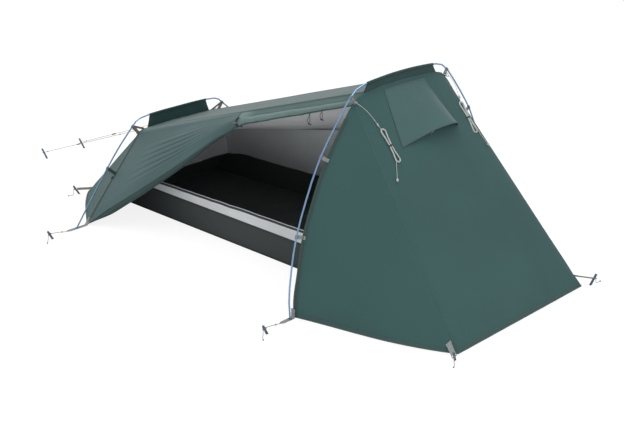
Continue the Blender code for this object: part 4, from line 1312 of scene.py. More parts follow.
@dataclass(frozen=True)
class MainCanopy:
    """The roof and the far side between the hoops, cut as one panel."""

    crown_steps: int = 28
    side_steps: int = 28
    steps_along: int = 64
    roof_sag: float = 0.008
    side_sag: float = 0.016
    ripple: float = 0.0016

    def profile(self, hoop: Hoop) -> Line:
        """Return the panel's edge under one hoop, from the near side over the crown to the hem."""
        side = hoop.fly_line(0.0, hoop.length_at(ROOF_HALF_WIDTH), self.side_steps, 1)
        return hoop.fly_crown(ROOF_HALF_WIDTH, self.crown_steps) + side[-2::-1]

    def sag(self, t: float, s: float) -> Vector:
        """Return how far the cloth draws in.

        Args:
            t: The share of its length.
            s: The share of its width.

        Returns:
            The offset.
        """
        depth = 4 * t * (1 - t)
        if s < 0.5:
            return -UP * self.roof_sag * depth * math.sin(math.pi * 2 * s)
        return Vector((0, -0.95, -0.25)) * self.side_sag * depth * math.sin(math.pi * (2 * s - 1))

    def height(self, point: Vector) -> float:
        """Return the height of the tension ripples at a point.

        Args:
            point: A point on the cloth.

        Returns:
            The height.
        """
        from_hoop = min(abs(point.x), abs(point.x + HOOP_SPACING))
        girth = math.atan2(point.y, point.z)
        pull = math.exp(-from_hoop / 0.10) * math.sin(girth * 46) * 0.0012
        long = noise.noise(Vector((point.x * 1.6, point.y * 9, point.z * 9)))
        return CLOTH_LIFT + pull + long * self.ripple

    def build(self) -> None:
        """Make the panel with its seams and its hem."""
        rows = ruled(self.profile(FOOT), self.profile(HEAD), self.steps_along, self.sag)
        # The panel takes the lighter copy of the flysheet nylon: painted light on the roof and far side.
        piece = make_sheet("main_canopy", rows, Vector((0, 0.6, 1)), CLOTH, Look.FLY_IN_LIGHT,
                           ("fly_roof", "fly_far_side"), self.height)
        ground = Ground(piece)
        fold = [row[self.crown_steps] for row in rows]
        hem = [row[-1] + Vector((0, -0.002, 0.011)) for row in rows]
        # The far fold seam takes the lighter seam tape: painted light, like the roof.
        trims = [make_band("far_fold_seam", fold, Vector((0, 0.7, -0.7)), 0.010, 0.0005, Look.ROOF_SEAM,
                           Vector((0, 1, 1)), ground),
                 make_band("far_hem", hem, Vector((0, -0.1, 1)), 0.020, 0.0006, Look.HEM, Vector((0, 1, 0.2)),
                           ground)]
        # A wide hem tape along each hoop: a seam tape, and its dark band on the lighter roof also stands in
        # for the shadow of the pole and sleeve: painted shadow.
        for hoop, way in ((HEAD, -1), (FOOT, 1)):
            line = [point + FORTH * way * 0.013 for point in self.profile(hoop)]
            trims.append(make_band(f"{hoop.name}_hoop_seam", line, FORTH, 0.024, 0.0005, Look.HEM,
                                   Vector((0, 0.5, 1)), ground))
        # The roof's edge seam takes the lighter seam tape: painted light, like the roof.
        over = ((0.008, 0.0030), (0.003, 0.0029), (-0.001, 0.0024), (-0.004, -0.0014))
        edge = [[row[0] + Vector((0, *offset)) for row in rows] for offset in over]
        trims.append(make_sheet("roof_edge_seam", edge, Vector((0, -0.4, 1)), 0.0006, Look.ROOF_SEAM))
        declare(piece, trims)


@dataclass(frozen=True)
class EndCanopy:
    """The three panels beyond one hoop, sewn into one cover that is pegged at two corners."""

    hoop: Hoop
    way: int
    steps_up: int = 60
    side_steps: int = 20
    end_steps: int = 56
    side_sag: float = 0.006
    ripple: float = 0.0014
    vent: tuple[float, float, float, float] = (0.1, 0.2, 0.3, 0.7)

    def side(self, side: int) -> Rows:
        """Return the lines of a side panel, each from the hem up, leg first.

        Args:
            side: -1 near and 1 far.

        Returns:
            The lines from the leg to the crease.
        """
        hoop = self.hoop
        leg = hoop.fly_line(0.0, hoop.length_at(hoop.shoulder_half), self.steps_up, side)
        crease = mix(hoop.corner_point(side), leg[-1], self.steps_up)
        hem = hoop.corner_point(side) - leg[0]
        out = Vector((hem.y, -hem.x, 0)).normalized()
        if out.y * side < 0:
            out = -out

        def bow(t: float, up: float) -> Vector:
            """Bow the hem out and draw the panel's middle in."""
            hem_bow = hoop.hem_bow * math.sin(math.pi * t ** 1.5) * (1 - up) ** 3
            return out * (hem_bow - self.side_sag * math.sin(math.pi * t) * math.sin(math.pi * up))

        return ruled(leg, crease, self.side_steps, bow)

    def rows(self) -> Rows:
        """Return the whole cover's rows from the ridge down, each from the near leg to the far leg.

        Returns:
            The rows of points.
        """
        top = self.hoop.fly_crown(self.hoop.shoulder_half, self.end_steps)
        hem = mix(self.hoop.corner_point(-1), self.hoop.corner_point(1), self.end_steps)
        near, far = self.side(-1), self.side(1)
        rows = []
        for j, row in enumerate(ruled(top, hem, self.steps_up)):
            up = self.steps_up - j
            rows.append([line[up] for line in near[:-1]] + row + [line[up] for line in far[-2::-1]])
        return rows

    def height(self, point: Vector) -> float:
        """Return the height of the cloth's small tension folds at a point.

        Args:
            point: A point on the cloth.

        Returns:
            The height.
        """
        folds = 0.0
        for side in (-1, 1):
            corner = self.hoop.corner_point(side)
            away = (point - corner).length
            turn = math.atan2(point.z, (point.y - corner.y) * side + 0.02)
            folds += math.exp(-away / 0.16) * math.sin(turn * 17) * 0.0016
        down = point.z / self.hoop.height
        long = noise.noise(Vector((point.x * 3 + down, point.y * 11, point.z * 1.7 + self.way)))
        return CLOTH_LIFT + folds * min(point.z / 0.03, 1.0) + long * self.ripple

    def build(self) -> None:
        """Make the cover with its creases, seams and hem."""
        name = self.hoop.name
        rows = self.rows()
        piece = lay_rows(f"{name}_canopy", rows, Vector((self.way, 0, 0.7)))
        width = len(rows[0])
        creases = (self.side_steps, self.side_steps + self.end_steps)
        soft = {j * width + k + i for j in range(4, len(rows) - 1) for k in creases for i in (-1, 0, 1)}
        select(piece, "VERT", lambda index: index in soft)
        bpy.ops.mesh.vertices_smooth(factor=0.5, repeat=1)
        bpy.ops.object.mode_set(mode="OBJECT")
        if self.way == 1:
            low, high, left, right = self.vent
            remove_faces(piece, lambda face: low < (face // (width - 1) + 0.5) / self.steps_up < high
                         and left < (face % (width - 1) - self.side_steps + 0.5) / self.end_steps < right)
        displace(piece, self.height)
        merge(piece, 0.0002)
        thicken(piece, CLOTH)
        dress(piece, Look.FLY, [f"fly_{name}_{part}" for part in ("end", "near", "far")])
        declare(piece, self.trims(Ground(piece), rows))

    def trims(self, ground: Ground, rows: Rows) -> list[Piece]:
        """Sew on the creases' seams, the leg bands, the crown seam and the hem.

        Args:
            ground: The finished cover.
            rows: The rows that it was laid on.

        Returns:
            The trims.
        """
        name, way, steps = self.hoop.name, self.way, self.side_steps
        trims = []

        def sew(part: str, line: Line, across: Vector | Line, sizes: tuple[float, float], look: Look,
                out: tuple[float, float, float], lift: float = 0.0003) -> None:
            """Sew one band on the cover."""
            trims.append(make_band(f"{name}_{part}", line, across, *sizes, look, Vector(out), ground, lift))

        for label, column, side in (("near", steps, -1), ("far", steps + self.end_steps, 1)):
            sew(f"{label}_crease_seam", [row[column] for row in rows[1:]], Vector((0.4, 1, 0)),
                (0.007, 0.0004), Look.SEAM, (way, side, 0.6))
        for label, column, side, ahead in (("near", 0, -1, 3), ("far", -1, 1, -3)):
            across = (rows[-1][column + ahead] - rows[-1][column]).normalized()
            sew(f"{label}_leg_band", along_rows(rows, column, 0.012, ahead), across, (0.020, 0.0007),
                Look.STORM_BAND, (0.2 * way, side, 0.2))
            edge = along_rows(rows, column, -0.0004, ahead)
            trims.append(make_tube(f"{name}_{label}_leg_binding", edge, 0.0015, Look.BINDING))
        crown = [point + FORTH * way * 0.006 for point in rows[0][steps:-steps]]
        sew("crown_seam", crown, Vector((way, 0, -0.3)), (0.010, 0.0005), Look.SEAM, (0.5 * way, 0, 1),
            0.0004)
        hem = [low.lerp(high, 0.010 / (high - low).length) for low, high in zip(rows[-1], rows[-4])]
        ways = [(high - low).normalized() for low, high in zip(rows[-1], rows[-4])]
        for label, part, out in (("end", slice(steps, -steps), (way, 0, 0.5)),
                                 ("near", slice(steps + 1), (way, -1, 0.2)),
                                 ("far", slice(-steps - 1, None), (way, 1, 0.2))):
            sew(f"{label}_hem", hem[part], ways[part], (0.020, 0.0006), Look.HEM, out)
        return trims


END_STEPS = 24


def head_end_frame(y: float, drop: float) -> tuple[Vector, Vector, Vector]:
    """Find a place on the head end panel.

    Args:
        y: Its place across the tent.
        drop: Its distance down the cloth from the ridge.

    Returns:
        The point, the panel's normal and its downhill way.
    """
    top = HEAD.fly_crown(HEAD.shoulder_half, END_STEPS)
    hem = mix(HEAD.corner_point(-1), HEAD.corner_point(1), END_STEPS)
    share = min(drop / (hem[END_STEPS // 2] - top[END_STEPS // 2]).length, 1.0)
    row = [a.lerp(b, share) for a, b in zip(top, hem)]
    i = max(i for i in range(END_STEPS) if row[i].y <= y or i == 0)
    part = (y - row[i].y) / (row[i + 1].y - row[i].y)
    down = (hem[i].lerp(hem[i + 1], part) - top[i].lerp(top[i + 1], part)).normalized()
    normal = (row[i + 1] - row[i]).normalized().cross(down).normalized()
    return row[i].lerp(row[i + 1], part), normal if normal.x > 0 else -normal, down


@dataclass(frozen=True)
class Vent:
    """The stiffened hood over the head vent, and the netting behind it."""

    offset: float = 0.009
    top_half: float = 0.150
    foot_half: float = 0.217
    length: float = 0.275
    drop: float = 0.022
    near_drop: float = 0.018
    stand: float = 0.062
    rows_down: int = 26
    columns: int = 40
    rest: float = 0.0024
    wire_inset: float = 0.0006
    wire_radius: float = 0.0013
    net_height: float = -0.0006
    net_half: float = 0.21
    net_top: float = 0.095
    net_length: float = 0.175

    def point(self, share: float, eta: float) -> Vector:
        """Return a point of the hood at a share down it and a place across, from -1 to 1.

        Args:
            share: The share down it.
            eta: The place across it.

        Returns:
            The point.
        """
        half = self.top_half + (self.foot_half - self.top_half) * share
        length = self.length + self.near_drop * max(-eta, 0.0)
        place, normal, _ = head_end_frame(self.offset + eta * half, self.drop + length * share)
        arch = (1 - eta ** 4) * ease(-1.1, 0.8, eta) * share ** 1.4
        ripple = math.sin(eta * 9 + 1) * 0.0012 * share * (1 - eta * eta)
        return place + normal * (self.rest + self.stand * arch + ripple)

    def build(self) -> None:
        """Make the hood, its bound edge, its seams, its prop tab and the netting."""
        rows = [[self.point(j / self.rows_down, 2 * i / self.columns - 1) for i in range(self.columns + 1)]
                for j in range(self.rows_down + 1)]
        hood = make_sheet("vent_hood_cloth", rows, FORTH + UP, 0.0008, Look.HOOD, ["vent_hood"])
        ground = Ground(hood)
        out = Vector((1, 0, 0.8))
        lip = rows[-1]
        down = (lip[self.columns // 2] - rows[-2][self.columns // 2]).normalized()
        trims = []
        for label, line, across, width, thickness in (
                ("wire_band", [p - down * 0.006 for p in lip], down, 0.010, 0.0006),
                ("near_seam", along_rows(rows, 0, 0.004, 4), ACROSS, 0.007, 0.0004),
                ("far_seam", along_rows(rows, -1, 0.004, -4), ACROSS, 0.007, 0.0004),
                ("top_seam", [p + down * 0.004 for p in rows[0]], down, 0.007, 0.0004)):
            trims.append(make_band(f"vent_hood_{label}", line, across, width, thickness, Look.HOOD_SEAM, out,
                                   ground, 0.0002))
            if label == "wire_band":
                # The wire's dark tube along the lip also stands in for the shade under the lip: painted
                # shade.
                wire = [p - down * self.wire_inset for p in lip]
                trims.append(make_tube("vent_hood_wire", wire, self.wire_radius, Look.STORM_BAND))
        declare(hood, trims)
        top, _, _ = head_end_frame(self.offset, self.drop + self.length + 0.004)
        prop = mix(self.point(1.0, 0.08) - down * 0.010, top + Vector((0.002, 0, 0.001)), 8)
        make_band("vent_prop", prop, ACROSS, 0.010, 0.0010, Look.DARK_WEBBING, out)
        rows = [[head_end_frame(self.net_half * (i / 12 - 1), self.net_top + self.net_length * j / 12)[0]
                 for i in range(25)] for j in range(13)]
        net = make_sheet("vent_netting", rows, FORTH + UP, 0.0004, Look.NET, ["vent_mesh"],
                         lambda place: self.net_height)
        declare(net)


# Door

TIE_X = -0.870
TIE_WIDTH = 0.018
WIND = 0.0050


def roll_place(x: float, angle: float = 0.0) -> tuple[Vector, float]:
    """Return the roll's middle and its radius at a station, wound on by an angle.

    Args:
        x: The station.
        angle: The angle in radians.

    Returns:
        The middle and the radius.
    """
    share = min(max((x - TIE_X) / -TIE_X, 0.0), 1.0)
    outer = 0.0255 - 0.0075 * share
    drop = 0.047 - 0.020 * share
    return roof_edge(x) + Vector((0, -outer, -drop)), outer - WIND * angle / (2 * math.pi)


def wrap(x: float, grow: float, end: float, count: int) -> Line:
    """Return the door cloth's way from the roof's edge over the roll's outer side.

    Args:
        x: The station.
        grow: How far over the roll's own radius the cloth lies.
        end: The angle where it ends, counted from the tent's side and down and outwards.
        count: How many steps it gets round the roll.

    Returns:
        The points, the roof's edge first.
    """
    edge = roof_edge(x)
    centre, outer = roll_place(x)
    away = edge - centre
    radius = outer + grow
    reach = math.hypot(away.y, away.z)
    tangent = math.atan2(away.z, away.y) + math.acos(radius / reach)
    start = 360 - math.degrees(tangent)
    line = mix(edge, centre + Vector((0, radius * math.cos(tangent), radius * math.sin(tangent))), 5)
    for step in range(1, count + 1):
        turned = (start - end) * step / count
        angle = math.radians(start - turned)
        here = radius - WIND * turned / 360
        line.append(centre + Vector((0, here * math.cos(angle), -here * math.sin(angle))))
    return line


@dataclass(frozen=True)
class DoorFlap:
    """The part of the door that hangs open, gathered from the foot hoop's leg to the tie."""

    steps_along: int = 84
    steps_down: int = 84
    curl_steps: int = 12
    hem_sag: float = 0.010
    curl: float = 0.0200
    curl_turn: float = math.radians(205)
    fold_depth: float = 0.0052
    end_x: float = TIE_X - 0.003
    tape_gap: float = 0.0008
    tape_steps: int = 8

    def column(self, t: float, leg: Line, tie: Line) -> Line:
        """Return the cloth's line from the roof's edge to the curled hem at a share of its length.

        Args:
            t: The share of its length.
            leg: The cloth's line at the hoop's leg.
            tie: The cloth's line at the tie.

        Returns:
            The points.
        """
        line = []
        for i, (start, end) in enumerate(zip(leg, tie)):
            share = i / self.steps_down
            sag = self.hem_sag * math.sin(math.pi * t) * share ** 2
            line.append(start.lerp(end, t) + Vector((0, 0.2, -1)) * sag)
        radius = 0.0015 + self.curl * ease(0.0, 0.16, t) * (1 - 0.65 * ease(0.84, 1.0, t))
        run = running(line)
        line = stretch(line, 0.0, run[-1] - radius, self.steps_down)
        down = (line[-1] - line[-4]).normalized()
        along = (tie[-1] - leg[-1]).normalized()
        out = down.cross(along).normalized()
        if out.y > 0 and t < 0.9:
            out = -out
        hem = line[-1]
        for step in range(1, self.curl_steps + 1):
            turn = self.curl_turn * step / self.curl_steps
            line.append(hem + (down * math.sin(turn) + out * (math.cos(turn) - 1)) * radius)
        return line

    def fold(self, t: float, share: float) -> float:
        """Return the height of the gathers at a share of the length and of the width.

        Args:
            t: The share of its length.
            share: The share of its width.

        Returns:
            The height.
        """
        drift = share + 0.03 * noise.noise(Vector((t * 3.1, share * 4.3, 1.7)))
        wave = 0.3 - (0.5 + 0.5 * math.cos(2 * math.pi * 10.5 * drift)) ** 3
        rise = ease(0.12, 0.42, t) * (1 - ease(0.50, 0.82, t))
        window = ease(0.22, 0.40, share) * (1 - ease(0.74, 0.90, share))
        broad = noise.noise(Vector((t * 2.2, share * 3.0, 5.0))) * 0.009 * math.sin(math.pi * t)
        middle = ease(0.0, 0.2, share) * (1 - ease(0.85, 1.0, share))
        return self.fold_depth * rise * wave * window + broad * middle

    def build(self) -> None:
        """Make the flap and its stitched hem, whose dark tape is painted shade where the hem curls under."""
        top = FOOT.length_at(ROOF_HALF_WIDTH)
        leg = FOOT.fly_line(0.0, top, self.steps_down, -1)[::-1]
        path = wrap(self.end_x, 0.0018, 80.0, 40)
        tie = stretch(path, 0.0, running(path)[-1], self.steps_down)
        shares = [step / self.steps_along for step in range(self.steps_along + 1)]
        rows = [self.column(t, leg, tie) for t in shares]
        piece = lay_rows("door_flap_cloth", rows, Vector((0, -1, 1)))
        width = len(rows[0])
        folds = iter([CLOTH_LIFT + self.fold(t, min(i / self.steps_down, 1.0))
                      for t in shares for i in range(width)])
        displace(piece, lambda place: next(folds))
        verts = piece.data.vertices
        hem = [[vert.co + vert.normal * self.tape_gap for vert in list(verts)[2 * width + i:-3 * width:width]]
               for i in range(self.steps_down, self.steps_down + self.tape_steps)]
        sides = [[verts[j * width + i].co.copy() for i in range(2, self.steps_down - 1)] for j in range(3)]
        thicken(piece, CLOTH)
        # The flap takes the lighter copy of the flysheet nylon: painted light.
        dress(piece, Look.FLAP, ["door_flap"])
        line = [start.lerp(end, 0.5) for start, end in zip(sides[0], sides[1])]
        ways = [(end - start).normalized() for start, end in zip(sides[0], sides[2])]
        # The hem tape's dark colour is painted shade on the curl under the hem.
        trims = [make_sheet("door_hem_tape", hem, Vector((0, -1, -0.4)), 0.0005, Look.STORM_BAND),
                 make_band("door_zip", line, ways, 0.016, 0.0008, Look.ZIP_GREEN, Vector((0, -1, 0.6)),
                           Ground(piece))]
        declare(piece, trims)


@dataclass(frozen=True)
class DoorRoll:
    """The rolled part of the door along the roof's edge, with its tie."""

    start_x: float = TIE_X - 0.014
    end_x: float = -0.030
    steps_along: int = 90
    steps_round: int = 54
    last_angle: float = -330.0
    lump: float = 0.0022
    slim: float = 0.0040
    sag: float = 0.0110
    web_angle: float = 328.0
    loose_wind: float = 0.0045
    strap_height: float = 0.0036
    loop_height: float = 0.0058

    def hanging(self, x: float) -> Line:
        """Return the cloth's way down from the roof's edge and over the roll that hangs behind.

        Args:
            x: The station.

        Returns:
            The points, the roof's edge first.
        """
        centre, outer = roll_place(x)
        centre += Vector((0, -self.slim, -self.slim - self.sag * ease(TIE_X, 0.0, x)))
        ring = []
        for step in range(self.steps_round + 1):
            turned = (self.web_angle - self.last_angle) * step / self.steps_round
            angle = math.radians(self.web_angle - turned)
            here = outer - self.slim - self.loose_wind * turned / 360
            ring.append(centre + Vector((0, here * math.cos(angle), -here * math.sin(angle))))
        return mix(roof_edge(x), ring[0], 5)[:-1] + ring

    def build(self) -> None:
        """Make the roll and the strap round it."""
        rows = []
        lap = []
        for step in range(self.steps_along + 1):
            x = self.start_x + (self.end_x - self.start_x) * step / self.steps_along
            tied = wrap(x, 0.0004, self.last_angle, self.steps_round)
            centre, _ = roll_place(x)
            loose = ease(TIE_X + 0.01, TIE_X + 0.14, x)
            row = []
            for i, (held, free) in enumerate(zip(tied, self.hanging(x))):
                share = i / (len(tied) - 1)
                lump = noise.noise(Vector((x * 7.0, share * 6.0, 3.0))) * self.lump
                lump += math.sin(x * 55 + share * 14) * 0.0005
                squeeze = math.exp(-((x - TIE_X) / 0.030) ** 2) * 0.0016
                point = held.lerp(free, loose)
                row.append(point + (point - centre).normalized() * (lump * min(i / 8, 1.0) - squeeze))
            rows.append(row)
            under = Vector((0, -0.55, -0.83))
            lap.append(max(row[6:], key=lambda p: (p - centre).dot(under)))
        # The roll takes the much lighter copy of the flysheet nylon: painted light.
        piece = make_sheet("door_roll_cloth", rows, Vector((0, -1, 0.5)), CLOTH, Look.ROLL, ["door_roll"])
        # The lap band is the roll's lap edge along its underside, in a colour darker than the roll: painted
        # shade under the roll.
        seam = make_band("door_roll_lap", lap[4:-1], Vector((0, 0.83, -0.55)), 0.013, 0.0016, Look.SEAM,
                         Vector((0, -0.7, -0.7)), Ground(piece), 0.0002, slot="flysheet_light")
        declare(piece, [seam])
        self.tie()

    def tie(self) -> None:
        """Make the strap round the roll, its sewn-down end and the loop for the toggle."""
        along = (roof_edge(0.0) - roof_edge(TIE_X)).normalized()

        def over_roll(degrees: float, over: float, beside: float) -> Vector:
            """Return a point over the roll at an angle and beside the strap's middle.

            Args:
                degrees: The angle round the roll.
                over: The height over it.
                beside: The distance along the tent.

            Returns:
                The point.
            """
            angle = math.radians(degrees)
            centre, radius = roll_place(TIE_X, angle)
            turned = Vector((0, math.cos(angle), -math.sin(angle)))
            return centre + turned * (radius + over) + along * beside

        line = [over_roll(degrees, self.strap_height, 0.0) for degrees in range(24, 301, 12)]
        make_sheet("door_tie_strap", band_rows(line, along, TIE_WIDTH, 4), DOORWARDS, 0.0012, Look.TIE,
                   ["door_tie"])
        loop = ((236, 0.003), (237, 0.011), (231, 0.017), (223, 0.017), (220, 0.012), (227, 0.009),
                (235, 0.006))
        loop = smooth_path([over_roll(degrees, self.loop_height, beside) for degrees, beside in loop], 5)
        make_tube("door_tie_loop", loop, 0.0014, Look.DARK_CORD)


# Inner tent

TUB_WALL = 0.150
TUB_NEAR_Y = -0.326
TUB_FOOT_X = -1.840
TUB_HEAD_X = 0.350
INNER_CLOTH = 0.0005
TUB_CLOTH = 0.0007


def tub_far_y(x: float) -> float:
    """Return the far wall's place at a station along the tub."""
    return 0.424 + 0.146 * (x - TUB_FOOT_X) / (TUB_HEAD_X - TUB_FOOT_X)


def sill_height(x: float) -> float:
    """Return the height of the sill's top edge at a station."""
    return TUB_WALL + 0.048 + 0.040 * (x - TUB_FOOT_X) / (TUB_HEAD_X - TUB_FOOT_X)


def rim_drop(x: float, y: float) -> float:
    """Return how far the tub's rim sinks round its far foot corner."""
    along = 1 - ease(TUB_FOOT_X + 0.11, TUB_FOOT_X + 0.24, x)
    return 0.017 * along * ease(TUB_NEAR_Y, TUB_NEAR_Y + 0.15, y)


@dataclass(frozen=True)
class Tub:
    """The bathtub floor, cut from one sheet with its corners folded and sewn."""

    wall_steps: int = 8
    long_steps: int = 90
    cross_steps: int = 36
    foot_lean: float = 0.110

    def stations(self, count: int) -> list[tuple[float, float]]:
        """Return the share along the floor and the height up the wall at each grid line.

        Args:
            count: The floor's number of steps.

        Returns:
            The share and the height of each line.
        """
        rise = [(i + 1) / self.wall_steps * TUB_WALL for i in range(self.wall_steps)]
        return [(0.0, h) for h in reversed(rise)] + [(i / count, 0.0) for i in range(count + 1)] \
            + [(1.0, h) for h in rise]

    def point(self, share_x: float, share_y: float, height: float) -> Vector:
        """Return a point of the tub's inner face.

        Args:
            share_x: The share along the floor.
            share_y: The share across it.
            height: The height up the wall.

        Returns:
            The point.
        """
        foot_x = TUB_FOOT_X + self.foot_lean * height / TUB_WALL
        x = foot_x + (TUB_HEAD_X - foot_x) * share_x
        far = tub_far_y(x)
        y = TUB_NEAR_Y + (far - TUB_NEAR_Y) * share_y
        inside = 4 * share_x * (1 - share_x) * 4 * share_y * (1 - share_y)
        bulge = 0.004 * math.sin(math.pi * height / TUB_WALL) * noise.noise(Vector((x * 4, y * 4, 1.0)))
        lift = 0.0016 + abs(rumple(Vector((x, y, 0)), 0.16, 0.006, 2.0)) * inside
        if height == 0:
            return Vector((x, y, lift))
        height *= 1 - rim_drop(x, y) / TUB_WALL
        return Vector((x, y + abs(bulge) * (1 if share_y < 0.5 else -1), max(height, lift)))

    def build(self) -> None:
        """Make the tub with its wall seams."""
        along, across = self.stations(self.long_steps), self.stations(self.cross_steps)
        rows = [[self.point(u, v, max(hu, hv)) for u, hu in along] for v, hv in across]
        tub = lay_rows("tub_cloth", rows, UP)
        columns = len(along) - 1

        def in_corner(face: int) -> bool:
            """Tell whether a face is one of the folded-away corner cells.

            Args:
                face: The face's number.

            Returns:
                Whether it is cut away.
            """
            j, i = divmod(face, columns)
            end = not self.wall_steps <= i < self.wall_steps + self.long_steps
            return end and not self.wall_steps <= j < self.wall_steps + self.cross_steps

        remove_faces(tub, in_corner)
        merge(tub, 0.0006)
        thicken(tub, TUB_CLOTH)
        dress(tub, Look.TUB, ["inner_tub"])
        trims = []
        for label, height, width in (("rim", TUB_WALL - 0.006, 0.010), ("floor", 0.008, 0.008)):
            line = [self.point(i / 80, 0.0, height) + DOORWARDS * 0.0012 for i in range(81)]
            trims.append(make_band(f"tub_{label}_seam", line, UP, width, 0.0005, Look.TUB_SEAM, DOORWARDS))
        declare(tub, trims)


@dataclass(frozen=True)
class Sill:
    """The pale lower edge of the inner door, with the zip along its top."""

    steps: int = 96
    up_steps: int = 8
    inset: float = 0.0012

    def line(self, below: float, out: float) -> Line:
        """Return a line along the sill at a distance below its top edge and out of its face.

        Args:
            below: The distance below the edge.
            out: The distance out of the face.

        Returns:
            The points.
        """
        start, end = TUB_FOOT_X + 0.1105, TUB_HEAD_X - 0.002
        stations = [start + (end - start) * i / self.steps for i in range(self.steps + 1)]
        return [Vector((x, TUB_NEAR_Y + self.inset - out + self.wave(x, below), sill_height(x) - below))
                for x in stations]

    def wave(self, x: float, below: float) -> float:
        """Return how far the cloth leans in at a station."""
        high = max(0.0, 1 - below / 0.07)
        return abs(noise.noise(Vector((x * 5.5, 0.3, 2.0)))) * 0.008 * high

    def build(self) -> None:
        """Make the sill, its zip and its binding."""
        rows = [[Vector((p.x, TUB_NEAR_Y + self.inset + self.wave(p.x, (1 - share) * (p.z - TUB_WALL)),
                         TUB_WALL - 0.001 + (p.z - TUB_WALL + 0.001) * share)) for p in self.line(0.0, 0.0)]
                for share in (j / self.up_steps for j in range(self.up_steps + 1))]
        sill = make_sheet("sill_cloth", rows, DOORWARDS, 0.0006, Look.SILL, ["inner_sill"])
        trims = [make_band("sill_zip", self.line(0.0085, 0.0010), UP, 0.013, 0.0008, Look.ZIP, DOORWARDS),
                 make_tube("sill_binding", self.line(0.0002, 0.0), 0.0017, Look.SILL)]
        declare(sill, trims)


